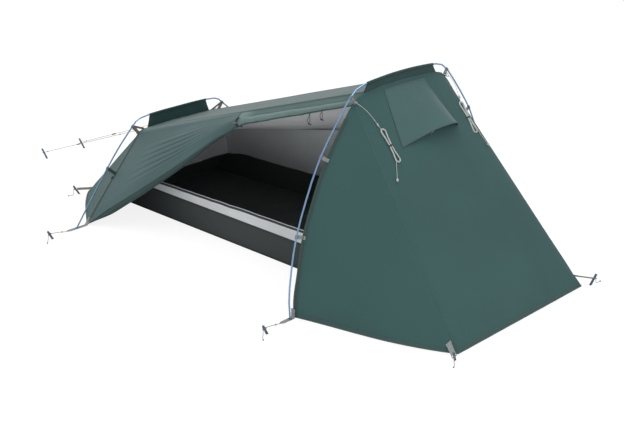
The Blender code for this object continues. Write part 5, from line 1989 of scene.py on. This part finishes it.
@dataclass(frozen=True)
class InnerWalls:
    """The sagging ceiling of the inner tent and the three walls under it."""

    foot_x: float = -1.650
    head_x: float = -0.012
    near_y: float = -0.200
    far_y: float = 0.330
    sag: float = 0.030
    steps: int = 60
    steps_across: int = 34
    steps_down: int = 28

    def near_edge(self, x: float) -> Vector:
        """Return a point on the ceiling's near edge, hung close under the roof.

        Args:
            x: The station.

        Returns:
            The point.
        """
        foot, head = (hoop.fly_crown(ROOF_HALF_WIDTH, 6) for hoop in (FOOT, HEAD))
        inset = (ROOF_HALF_WIDTH + self.near_y) / (foot[1].y - foot[0].y)
        start, end = foot[0].lerp(foot[1], inset), head[0].lerp(head[1], inset)
        share = (x - start.x) / (end.x - start.x)
        drop = 0.0016 + 0.0030 * 4 * max(share, 0) * max(1 - share, 0)
        return Vector((x, self.near_y, start.lerp(end, share).z - drop))

    def far_edge(self, x: float) -> Vector:
        """Return a point on the crease between the ceiling and the far wall."""
        t = (x - self.foot_x) / (self.head_x - self.foot_x)
        return Vector((x, self.far_y, 0.357 + 0.324 * t - 0.020 * math.sin(math.pi * t) ** 2 * (1 - t)))

    def wall(self, name: str, high: Line, low: Line, outward: Vector, node: str, depth: float) -> None:
        """Hang one wall from its top edge to the tub's rim.

        Args:
            name: The wall's name.
            high: Its top edge.
            low: Its lower edge, with as many points.
            outward: The way out of the tent.
            node: The CAD node that it replaces.
            depth: How far it draws in at its middle.
        """
        rows = ruled(high, low, self.steps_down, lambda down, along: (
            -outward * depth * math.sin(math.pi * down) * math.sin(math.pi * along)))
        # The foot wall takes the lighter copy of the inner cloth, painted light for the light that comes
        # through it at the foot end; the far and head walls take the darker copy, painted shade.
        look = Look.INNER if node == "inner_foot_wall" else Look.INNER_WALL
        piece = make_sheet(name, rows, outward, INNER_CLOTH, look, [node],
                           lambda co: rumple(Vector((co.x, co.y, co.z * 0.5)), 0.11, 0.006, 4.0))
        line = [a.lerp(b, 0.012) - outward * 0.003 for a, b in zip(high, low)]
        seam = make_band(f"{name}_seam", line, UP, 0.008, 0.0005, Look.INNER_SEAM, -outward)
        declare(piece, [seam])

    def build(self) -> None:
        """Make the ceiling, the walls and the loops that hold the rolled inner door."""
        stations = [self.foot_x + (self.head_x - self.foot_x) * i / self.steps for i in range(self.steps + 1)]
        near, far = [self.near_edge(x) for x in stations], [self.far_edge(x) for x in stations]
        rows = ruled(near, far, self.steps_across, lambda t, u: UP * -self.sag * math.sin(math.pi * t))

        def slack(co: Vector) -> float:
            """Return how the cloth hangs in shallow folds that die out at its edges."""
            folds = abs(rumple(Vector((co.x * 0.6, co.y, co.z)), 0.13, 0.010, 7.0))
            return -folds * min((co.y - self.near_y) / 0.06, 1.0) * min((self.far_y - co.y) / 0.06, 1.0)

        # The ceiling takes the lighter copy of the inner cloth: painted light for the light through the roof.
        ceiling = make_sheet("ceiling_cloth", rows, UP, INNER_CLOTH, Look.INNER, ["inner_ceiling"], slack)
        declare(ceiling)
        seat = TUB_WALL + 0.0004
        rim_x = TUB_FOOT_X + 0.1115
        base = [Vector((x, tub_far_y(x) - 0.003, seat - rim_drop(x, tub_far_y(x)))) for x in
                (rim_x + (TUB_HEAD_X - 0.003 - rim_x) * i / self.steps for i in range(self.steps + 1))]
        self.wall("far_wall_cloth", far, base, ACROSS, "inner_far_wall", 0.020)
        for name, column, x, way, node in (("foot_wall_cloth", 0, rim_x, -1, "inner_foot_wall"),
                                           ("head_wall_cloth", -1, TUB_HEAD_X - 0.003, 1, "inner_head_wall")):
            high = [row[column] for row in rows]
            low = mix(Vector((x, TUB_NEAR_Y + 0.002, seat)), Vector((x, tub_far_y(x) - 0.003, seat)),
                      self.steps_across)
            low = [point - UP * rim_drop(point.x, point.y) for point in low]
            self.wall(name, high, low, Vector((way, 0, 0)), node, 0.012)
        for number, (x, length) in enumerate(((-0.93, 0.075), (-0.42, 0.118), (-0.335, 0.105))):
            self.loop(number, x, length)

    def loop(self, number: int, x: float, length: float) -> None:
        """Hang one elastic loop with its bead from the ceiling's near edge.

        Args:
            number: Its number.
            x: The station.
            length: How far it hangs.
        """
        top = self.near_edge(x) + Vector((0, 0.004, -0.003))
        low = top + Vector((0.004, -0.006, -length))
        way = ((0.0, 0, 0, 0), (0.55, 0.003, -0.002, 0), (1.0, 0, 0, 0), (0.85, -0.012, -0.002, 0),
               (0.60, -0.003, -0.001, 0), (0.0, -0.003, 0, -0.001))
        line = smooth_path([top.lerp(low, share) + Vector(aside) for share, *aside in way], 6)
        make_tube(f"inner_door_loop_{number}", line, 0.0014, Look.DARK_CORD)
        bead = [low + Vector((d, 0, 0)) for d in (-0.011, -0.009, 0.0, 0.009, 0.011)]
        make_tube(f"inner_door_bead_{number}", bead, 0.0034, Look.DARK_PLASTIC,
                  radii=[0.6, 1.0, 0.8, 1.0, 0.6])


# Hoops

@dataclass(frozen=True)
class HoopDress:
    """What is sewn and hung on one hoop: its sleeve, the clips' webbing and the shock cord."""

    hoop: Hoop
    way: int
    near_clips: tuple[tuple[str, float], ...]
    far_clips: tuple[tuple[str, float], ...]
    pole_radius: float = 0.00425
    sleeve_gap: float = 0.0016
    stations: int = 40
    skirt_half: float = 0.0015
    flare: float = 0.10
    tab_width: float = 0.0175
    tab_thickness: float = 0.0010
    strap_half: float = 0.262
    strap_width: float = 0.012
    strap_thickness: float = 0.0012

    def sleeve_line(self) -> list[tuple[Vector, Vector]]:
        """Return the pole's crown points inside the sleeve, each with its skirt's foot on the flysheet.

        Returns:
            The pairs of points, in the hoop's own plane.
        """
        half = self.hoop.half_profile()
        run = running(half)
        first = next(i for i, p in enumerate(half) if p.x < self.hoop.sleeve_half)
        start = run[first] - (self.hoop.sleeve_half - half[first].x) * 0.95
        part = stretch(half, start, run[-1], self.stations)
        fly = self.hoop.fly_profile()
        run = running(fly)
        places = []
        for point in part:
            flared = max(point.x, 0.0) * (1 + self.flare * max(point.x, 0.0) / self.hoop.sleeve_half)
            here = stretch(fly, self.hoop.length_at(flared), run[-1], 1)[0]
            places.append((point, Vector((flared, here.y))))
        mirrored = [(Vector((-p.x, p.y)), Vector((-low.x, low.y))) for p, low in places]
        return mirrored + places[-2::-1]

    def sleeve(self) -> None:
        """Make the sleeve: one cloth round the pole, closed by a stitched double skirt."""
        radius = self.pole_radius + self.sleeve_gap
        stem = math.asin(self.skirt_half / radius)
        rows = [[] for _ in range(27)]
        stitches = {1: [], -1: []}
        for number, (place, low) in enumerate(self.sleeve_line()):
            centre = self.hoop.point(place.x, place.y)
            foot = self.hoop.point(low.x, low.y + 0.0012)
            ring = []
            for step in range(19):
                angle = -math.pi / 2 + stem + (2 * math.pi - 2 * stem) * step / 18
                pucker = 1 + 0.012 * math.sin(number * 1.1 + step)
                ring.append(centre + Vector((math.cos(angle), 0, math.sin(angle))) * radius * pucker)
            for side, end in ((1, ring[0]), (-1, ring[-1])):
                hem = foot + Vector((side * self.skirt_half * 1.5, 0, 0))
                bow = 0.0012 * math.sin(number * 0.35 + side)
                skirt = [p + FORTH * (side * bow * math.sin(math.pi * i / 4))
                         for i, p in enumerate(mix(hem, end, 4)[:-1])]
                ring = skirt + ring if side == 1 else ring + skirt[::-1]
                stitches[side].append(end.lerp(hem, 0.16) + Vector((side * 0.0010, 0, 0)))
            for row, point in zip(rows, ring):
                row.append(point)
        name = self.hoop.name
        sleeve = make_sheet(f"{name}_sleeve", rows, UP, CLOTH, Look.SLEEVE, [f"{name}_pole_sleeve"],
                            offset=0.0)
        trims = [make_band(f"{name}_sleeve_stitching_{end}", stitches[side], UP, 0.006, 0.0004, Look.SLEEVE,
                           FORTH * side) for end, side in (("head", 1), ("foot", -1))]
        declare(sleeve, trims)

    def fly_reach(self, origin: Vector, across: Vector, along: Vector, side: int) -> float:
        """Return how far the flysheet's line lies from the pole at a clip.

        Args:
            origin: The clip's place on the pole.
            across: The way to the flysheet.
            along: The way up the pole.
            side: -1 near and 1 far.

        Returns:
            The distance.
        """
        line = self.hoop.fly_profile()
        reach = self.hoop.hang
        for point in stretch(line, 0.0, running(line)[-1], 400):
            offset = self.hoop.point(side * point.x, point.y) - origin
            if abs(offset.dot(along)) < 0.008:
                reach = min(reach, offset.dot(across))
        return reach

    def webbing(self, label: str, place: str, side: int, share: float) -> None:
        """Fold one webbing tab over a clip's stem and sew it down to the flysheet.

        Args:
            label: The side's name.
            place: The clip's name.
            side: -1 near and 1 far.
            share: The clip's share of the pole's height.
        """
        origin, across, along = self.hoop.pole_at(side, share)
        reach = self.fly_reach(origin, across, along, side)
        normal = across.cross(along)
        look = Look.WEBBING
        if self.hoop is FOOT:
            look = Look.STORM_BAND if place == "middle" else Look.DARK_WEBBING
        for number, face in enumerate((1, -1)):
            line = [origin + across * d + normal * face * off for d, off in (
                (0.010, 0.0016), (reach * 0.5, 0.0018), (reach - 0.002, 0.0016), (reach + 0.0008, 0.0030),
                (reach + 0.0009, 0.012), (reach + 0.0012, 0.018))]
            if (normal * face).x * self.way < 0:
                line = line[:4]
            make_band(f"{self.hoop.name}_{label}_{place}_webbing_{number}", smooth_path(line, 4), along,
                      self.tab_width, self.tab_thickness, look, normal * face, slot="webbing")

    def shoulder_strap(self, label: str, side: int) -> None:
        """Make the strap that spreads from the pole's shoulder to the flysheet.

        Args:
            label: The side's name.
            side: -1 near and 1 far.
        """
        origin, across, along = self.hoop.pole_at(side, FOOT_SHOULDER)
        fly = self.hoop.fly_profile()
        here = stretch(fly, self.hoop.length_at(self.strap_half), running(fly)[-1], 1)[0]
        end = self.hoop.point(side * here.x, here.y) + Vector((self.way * 0.004, 0, 0.002))
        start = origin + across * 0.007 + along * 0.006
        way = (end - start).normalized()
        make_band(f"{self.hoop.name}_{label}_shoulder_strap_0", mix(start, end + way * 0.004, 8),
                  way.cross(FORTH).normalized(), self.strap_width, self.strap_thickness,
                  Look.DARK_WEBBING, Vector((self.way, 0, 0.2)))

    def shock_cord(self) -> None:
        """Thread the elastic cord through the pole."""
        half = self.hoop.half_profile()
        part = stretch(half, 0.012, running(half)[-1], 60)
        line = [self.hoop.point(-p.x, p.y) for p in part] + [self.hoop.point(p.x, p.y) for p in part[-2::-1]]
        name = self.hoop.name
        make_tube(f"{name}_elastic", line, 0.0016, Look.ELASTIC, 1, nodes=[f"{name}_hoop_shock_cord"])

    def build(self) -> None:
        """Make everything on this hoop."""
        self.sleeve()
        self.shock_cord()
        for label, side, clips in (("near", -1, self.near_clips), ("far", 1, self.far_clips)):
            for place, share in clips:
                self.webbing(label, place, side, share)
            if self.hoop is FOOT:
                self.shoulder_strap(label, side)


# Ground gear

def lean_axis(way: Vector, lean: float) -> Vector:
    """Return a peg's upward direction, leaning a given way."""
    return way * math.sin(lean) + UP * math.cos(lean)


def pull_cord(name: str, base: Vector, axis: Vector, way: Vector, turn: float) -> None:
    """Tie a short pull cord to a peg's head and lay its end on the ground.

    Args:
        name: The cord's name.
        base: Where the peg enters the ground.
        axis: The peg's upward direction.
        way: The way the cord falls.
        turn: How far its end curls aside.
    """
    head = base + axis * 0.047 + way * 0.0075
    side = UP.cross(way)
    low = Vector((head.x, head.y, 0.0))
    points = [head, head + way * 0.004 + UP * -0.010, low + way * 0.007 + UP * 0.012,
              low + way * 0.016 + UP * 0.0018, low + way * 0.030 + side * turn * 0.5 + UP * 0.0016,
              low + way * 0.040 + side * turn + UP * 0.0016]
    line = smooth_path(points, 4)
    cord = make_tube(name, line, 0.0013, Look.CORD)
    knot = make_knot(f"{name}_knot", line[-1] + UP * 0.0022, way, 0.0012)
    tuple(line[0])
    running(line)[-1]
    [tuple(p) for p in line]


@dataclass(frozen=True)
class HoopFeet:
    """The strap under each foot of a hoop, its eyelet, its cord loop and the peg's pull cord."""

    hoop: Hoop
    width: float = 0.025
    level: float = 0.00205
    strap_reach: float = 0.065
    taper: float = 0.55
    eyelet_radius: float = 0.0078
    eyelet_wire: float = 0.0012
    peg_x: float = 0.030
    peg_reach: float = 0.180
    cord_radius: float = 0.0016
    knot_radius: float = 0.0013

    def build(self) -> None:
        """Make both feet of the hoop."""
        name = self.hoop.name
        for label, side in SIDES:
            outer = self.hoop.half_width + self.strap_reach
            fly = stretch(self.hoop.fly_profile(), 0.0, 0.045, 3)
            high = [self.hoop.point(side * (p.x + 0.0026), p.y) for p in reversed(fly)]
            hem = fly[0].x
            flat = [Vector((self.hoop.x, side * y, self.level)) for y in
                    (hem + 0.010, hem + 0.03, self.hoop.half_width, outer - 0.030, outer - 0.012, outer)]
            line = smooth_path(high[:-1] + [high[-1] + UP * 0.001] + flat, 4)
            widths = [self.width * (1 - self.taper * ease(outer - 0.016, outer, abs(point.y)))
                      for point in line]
            rows = [[point + FORTH * (width * (column / 6 - 0.5)) for point, width in zip(line, widths)]
                    for column in range(7)]
            make_sheet(f"{name}_{label}_foot_strap", rows, Vector((0, side * 0.5, 1)), 0.0011, Look.WEBBING,
                       [f"{name}_strap_{label}"], offset=0.0)
            tip = Vector((self.hoop.x, side * self.hoop.half_width, self.level + 0.0012))
            ring = [tip + Vector((math.cos(a), math.sin(a), 0)) * self.eyelet_radius
                    for a in (2 * math.pi * i / 28 for i in range(29))]
            make_tube(f"{name}_{label}_eyelet", ring, self.eyelet_wire, Look.PEG)
            base = Vector((self.hoop.x + self.peg_x, side * (self.hoop.half_width + self.peg_reach), 0))
            axis = lean_axis(Vector((0.15, side, 0)).normalized(), PEG_LEAN)
            start = Vector((self.hoop.x, side * (outer - 0.008), self.level + 0.0016))
            loop = peg_ring(base, axis, (base - start).normalized(), self.cord_radius)
            run = [start, start.lerp(loop[0], 0.12), start.lerp(loop[0], 0.55)]
            run[1].z = self.level + 0.002
            path = smooth_path(run + loop[:1], 4)[:-1] + smooth_path(loop, 2)
            loop_cord = make_tube(f"{name}_{label}_peg_cord", path, self.cord_radius, Look.CORD)
            knot = make_knot(f"{name}_{label}_peg_cord_knot", path[6], (path[7] - path[5]).normalized(),
                             self.knot_radius)
            tuple(path[0])
            running(path)[-1]
            [tuple(p) for p in path]
            aside = Vector((0.35, side * 0.6, 0)).normalized()
            pull_cord(f"{name}_{label}_pull_cord", base, axis, aside, 0.010)


@dataclass(frozen=True)
class CornerTab:
    """The webbing tab at one pegged corner, with a sewn eye that drops over the peg."""

    end: EndCanopy
    side: int
    width: float = 0.025
    hole_radius: float = 0.0098
    thickness: float = 0.0016
    tape_start: float = 0.024
    tape_height: float = 0.0022
    peg_out: float = 0.053
    seam_back: float = 0.050

    def build(self) -> None:
        """Make the tab, the patch that sews it down and the peg's pull cord."""
        name = f"{self.end.hoop.name}_{'near' if self.side < 0 else 'far'}"
        flat = EndCanopy(self.end.hoop, self.end.way, steps_up=10, side_steps=5, side_sag=0.0)
        lines = flat.side(self.side)
        place = lines[-1][0]
        at_crease = place + (lines[-1][1] - place).normalized() * self.seam_back
        beside = lines[-2][0] + (lines[-2][1] - lines[-2][0]).normalized() * self.seam_back
        out = (beside - at_crease).cross(at_crease - place).normalized()
        if out.y * self.side < 0:
            out = -out
        way = Vector((self.end.way * 0.38, self.side * 0.93, 0)).normalized()
        base = Vector((place.x, place.y, 0)) + way * self.peg_out
        axis = lean_axis(way, PEG_LEAN)
        centre = base + axis * (PEG_RING_HEIGHT / axis.z)
        start = at_crease + (beside - at_crease).normalized() * self.tape_start + out * self.tape_height
        along = (centre - start).normalized()
        reach = (centre - start).length
        across = out.cross(along).normalized()
        normal = along.cross(across)
        half = self.width / 2
        rim = [Vector((half * u, half * v)) for u, v in (
            (-1, -1), (0.8, -1), (1, -0.8), (1, 0.8), (0.8, 1), (-1, 1), (-1, -1))]
        rim = stretch(rim, 0.0, running(rim)[-1], 32)
        angles = [math.atan2(rim[0].y, rim[0].x) + 2 * math.pi * i / 32 for i in range(33)]
        hole = [Vector((math.cos(angle), math.sin(angle))) * self.hole_radius for angle in angles]
        rows = [[centre + along * p.x + across * p.y for p in row] for row in ruled(rim, hole, 4)]
        eye = lay_rows(f"{name}_corner_eye", rows, normal)
        tape = lay_rows(f"{name}_corner_tape",
                        band_rows(mix(start, centre - along * half, 16), across, self.width, 4), normal)
        CUTS[f"{name}_corner_tab"] = (self.width, reach)
        tab = join(f"{name}_corner_tab", eye, tape)
        merge(tab, 0.0006)
        look = Look.WEBBING if self.end.way == 1 else Look.DARK_WEBBING
        thicken(tab, self.thickness, 0.0)
        dress(tab, look)
        make_band(f"{name}_corner_patch", mix(start - along * 0.030 + out * 0.0004, start + along * 0.016, 6),
                  across, self.width + 0.004, 0.0010, look, out)
        pull_cord(f"{name}_corner_pull_cord", base, axis, (way + UP.cross(way) * 0.5).normalized(), -0.008)


# Stowed guylines

@dataclass(frozen=True)
class Hank:
    """A stowed head guyline: its run from the shoulder clip, its hank and its bead."""

    side: int
    y: float
    radius: float = 0.0011
    pitch: float = 0.0029
    half_length: float = 0.082
    lobe: float = 0.0096
    waist: float = 0.0024
    turns_in: float = 2.5
    turns_out: float = 2.0 + 19.0 / 24.0
    centre_drop: float = 0.262
    bead_radius: float = 0.0060
    drift: float = 0.050
    tilt: float = 0.10
    clearance: float = 0.0020
    ring_wire: float = 0.0013
    lock_radius: float = 0.0042
    lock_half: float = 0.008

    def turn(self) -> list[tuple[Vector, Vector]]:
        """Return one innermost turn as (up, across) points with their outward normals.

        Returns:
            The points and their normals.
        """
        reach = self.half_length - self.lobe
        points = []
        for end in (1, -1):
            for step in range(8):
                angle = math.pi * (step / 8 - 0.5)
                out = Vector((math.cos(angle), math.sin(angle))) * end
                points.append((Vector((reach * end, 0)) + out * self.lobe, out))
            for step in range(4):
                share = step / 4
                half = self.lobe - (self.lobe - self.waist) * math.sin(math.pi * share)
                points.append((Vector((reach * (1 - 2 * share), half)) * end, Vector((0, end))))
        return points[4:] + points[:4]

    def wound(self) -> Line:
        """Return the wound part as (up, across, height): in on one layer and out on the next.

        Returns:
            The points.
        """
        turn = self.turn()
        points = []
        for step in range(round((self.turns_in + self.turns_out) * len(turn)) + 1):
            done = step / len(turn)
            climb = ease(0.0, 1.0, (done - self.turns_in + 0.06) / 0.24)
            place, normal = turn[(step + 1) % len(turn)]
            spread = self.pitch - 0.0005 * (1 - abs(place.x) / self.half_length)
            flat = place + normal * spread * abs(self.turns_in - done)
            points.append(Vector((flat.x, flat.y, self.pitch * climb)))
        return points

    def build(self) -> None:
        """Make the cord, the lock at the hank's top and the bead at its end."""
        label = "near" if self.side < 0 else "far"
        rest = self.clearance + self.radius + CORD_GAP
        centre, normal, down = head_end_frame(self.y, self.centre_drop)
        up = -down
        across = ACROSS * self.side
        across = (across - up * across.dot(up)).normalized()
        up, across = (up * math.cos(self.tilt) + across * math.sin(self.tilt),
                      across * math.cos(self.tilt) - up * math.sin(self.tilt))

        def place(point: Vector) -> Vector:
            """Put a point of the hank's own plane on the canopy."""
            return centre + up * point.x + across * point.y + normal * (rest + point.z)

        wound = [place(point) for point in self.wound()]
        origin, to_fly, _ = HEAD.pole_at(self.side, HEAD_SHOULDER)
        start = origin + to_fly * HEAD.hang * 0.45 + Vector((0.00125 + self.radius + 0.0004, 0, 0))
        ring = [start + normal * 0.003 - up * (0.014 - 0.012 * math.cos(a)) + across * 0.006 * math.sin(a)
                for a in (math.radians(20 * step) for step in range(19))]
        make_tube(f"stowed_guyline_ring_{label}", ring, self.ring_wire, Look.BINDING, 1, slot="cord")
        high = place(Vector((self.half_length + 0.045, self.lobe + 0.006, 0.002)))
        mid = start.lerp(high, 0.5) + normal * 0.012
        link = smooth_path([start, start + Vector((0.010, 0, -0.004)), mid, high, wound[0]], 4)
        leave = (wound[-1] - wound[-2]).normalized()
        ends = []
        for share in (0.35, 0.7, 1.0):
            drift = centre - up * (self.half_length + 0.075 * share)
            drift += across * (self.lobe + self.pitch * self.turns_out + self.drift * share)
            ends.append(drift + normal * (rest + (self.bead_radius - self.radius) * share))
        tail = smooth_path([wound[-1], wound[-1] + leave * 0.010, *ends], 2)
        run = (tail[-1] - tail[-2]).normalized()
        line = link[:-1] + wound + tail[1:] + [tail[-1] + run * 0.004]
        cord = make_tube(f"stowed_guyline_{label}", line, self.radius, Look.STOWED_CORD, 1,
                         nodes=[f"head_guyline_hank_{label}"])
        bead = [tail[-1] + run * d for d in (0.0005, 0.002, 0.005, 0.010, 0.014, 0.016)]
        toggle = make_tube(f"stowed_guyline_bead_{label}", bead, self.bead_radius, Look.PALE_PLASTIC, 3,
                           radii=[0.45, 0.85, 1.0, 1.0, 0.8, 0.45])
        top = place(Vector((self.half_length + 0.030, self.lobe + 0.004, 0.0015)))
        lock = mix(top - up * self.lock_half, top + up * self.lock_half, 6)
        lock = make_tube(f"stowed_guyline_lock_{label}", lock, self.lock_radius, Look.PALE_PLASTIC,
                         radii=[0.7, 0.95, 1.0, 0.85, 1.0, 0.95, 0.7])
        reach = self.waist + self.pitch * self.turns_out + self.radius
        turns = [math.radians(24 * step) for step in range(61)]
        bind = [place(Vector((0.0022 * step / 15 - 0.0044, reach * math.cos(a),
                              self.pitch / 2 + (self.pitch / 2 + 2 * self.radius) * math.sin(a))))
                for step, a in enumerate(turns)]
        bind = make_tube(f"stowed_guyline_bind_{label}", bind, self.radius * 0.8, Look.DARK_CORD, 1)
        tuple(line[0])
        running(line)[-1]
        [tuple(p) for p in line]


def zip_pull(body: str, way: Vector, out: Vector) -> None:
    """Hang a cord pull from a zip slider, which it rides on.

    Args:
        body: The slider's node and body.
        way: The way that the pull hangs.
        out: The way out of the cloth.
    """
    box = [Vector(corner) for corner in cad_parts[body].bound_box]
    middle = sum(box, Vector()) / 8
    start = middle + out * 0.004
    line = smooth_path([start, start + way * 0.006 + out * 0.003, start + way * 0.020 + out * 0.002,
                        start + way * 0.034], 4)
    make_tube(f"{body}_pull", line, 0.0012, Look.DARK_CORD, body=body)
    make_tube(f"{body}_pull_end", [line[-1] + way * d for d in (-0.003, 0.0, 0.006, 0.010)], 0.0030,
              Look.DARK_PLASTIC, radii=[0.6, 1.0, 0.9, 0.6], body=body)


def dress_nodes() -> None:
    """Give the hard CAD nodes their finishes."""
    finishes = (("_hoop_crown", Look.POLE), ("_leg", Look.POLE), ("_clip_", Look.PLASTIC),
                ("_peg_", Look.PEG), ("guy_adjuster", Look.DARK_PLASTIC), ("_slider", Look.DARK_PLASTIC),
                ("door_toggle", Look.PLASTIC))
    for name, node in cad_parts.items():
        look = next((look for part, look in finishes if part in name), None)
        if look is None or node.hide_render:
            continue
        for slot in node.material_slots:
            slot.material = material(look)
        LOG.info("%s: %s", name, look.value.name)


def main() -> None:
    """Build the tent's looks and report each piece."""
    logging.basicConfig(level=logging.INFO, format="%(message)s")
    Studio().build()
    FootGuylines().build()
    Hank(-1, -0.273, centre_drop=0.282).build()
    Hank(1, 0.329, centre_drop=0.268, drift=0.012).build()
    for hoop in (HEAD, FOOT):
        HoopFeet(hoop).build()
    MainCanopy().build()
    for end in (EndCanopy(HEAD, 1), EndCanopy(FOOT, -1)):
        end.build()
        for side in (-1, 1):
            CornerTab(end, side).build()
    Vent().build()
    DoorFlap().build()
    DoorRoll().build()
    Tub().build()
    Sill().build()
    InnerWalls().build()
    HoopDress(HEAD, 1, (("upper", HEAD_SHOULDER), ("middle", 0.7175), ("lower", 0.384)),
              (("upper", HEAD_SHOULDER), ("middle", 0.7175))).build()
    HoopDress(FOOT, -1, (("upper", FOOT_SHOULDER), ("middle", 0.544)), (("upper", FOOT_SHOULDER),)).build()
    zip_pull("door_zip_slider", Vector((0.1, -0.2, -1)).normalized(), Vector((0, -0.8, 0.6)))
    zip_pull("inner_zip_slider", -UP, DOORWARDS)
    dress_nodes()


if __name__ == "__main__":
    main()
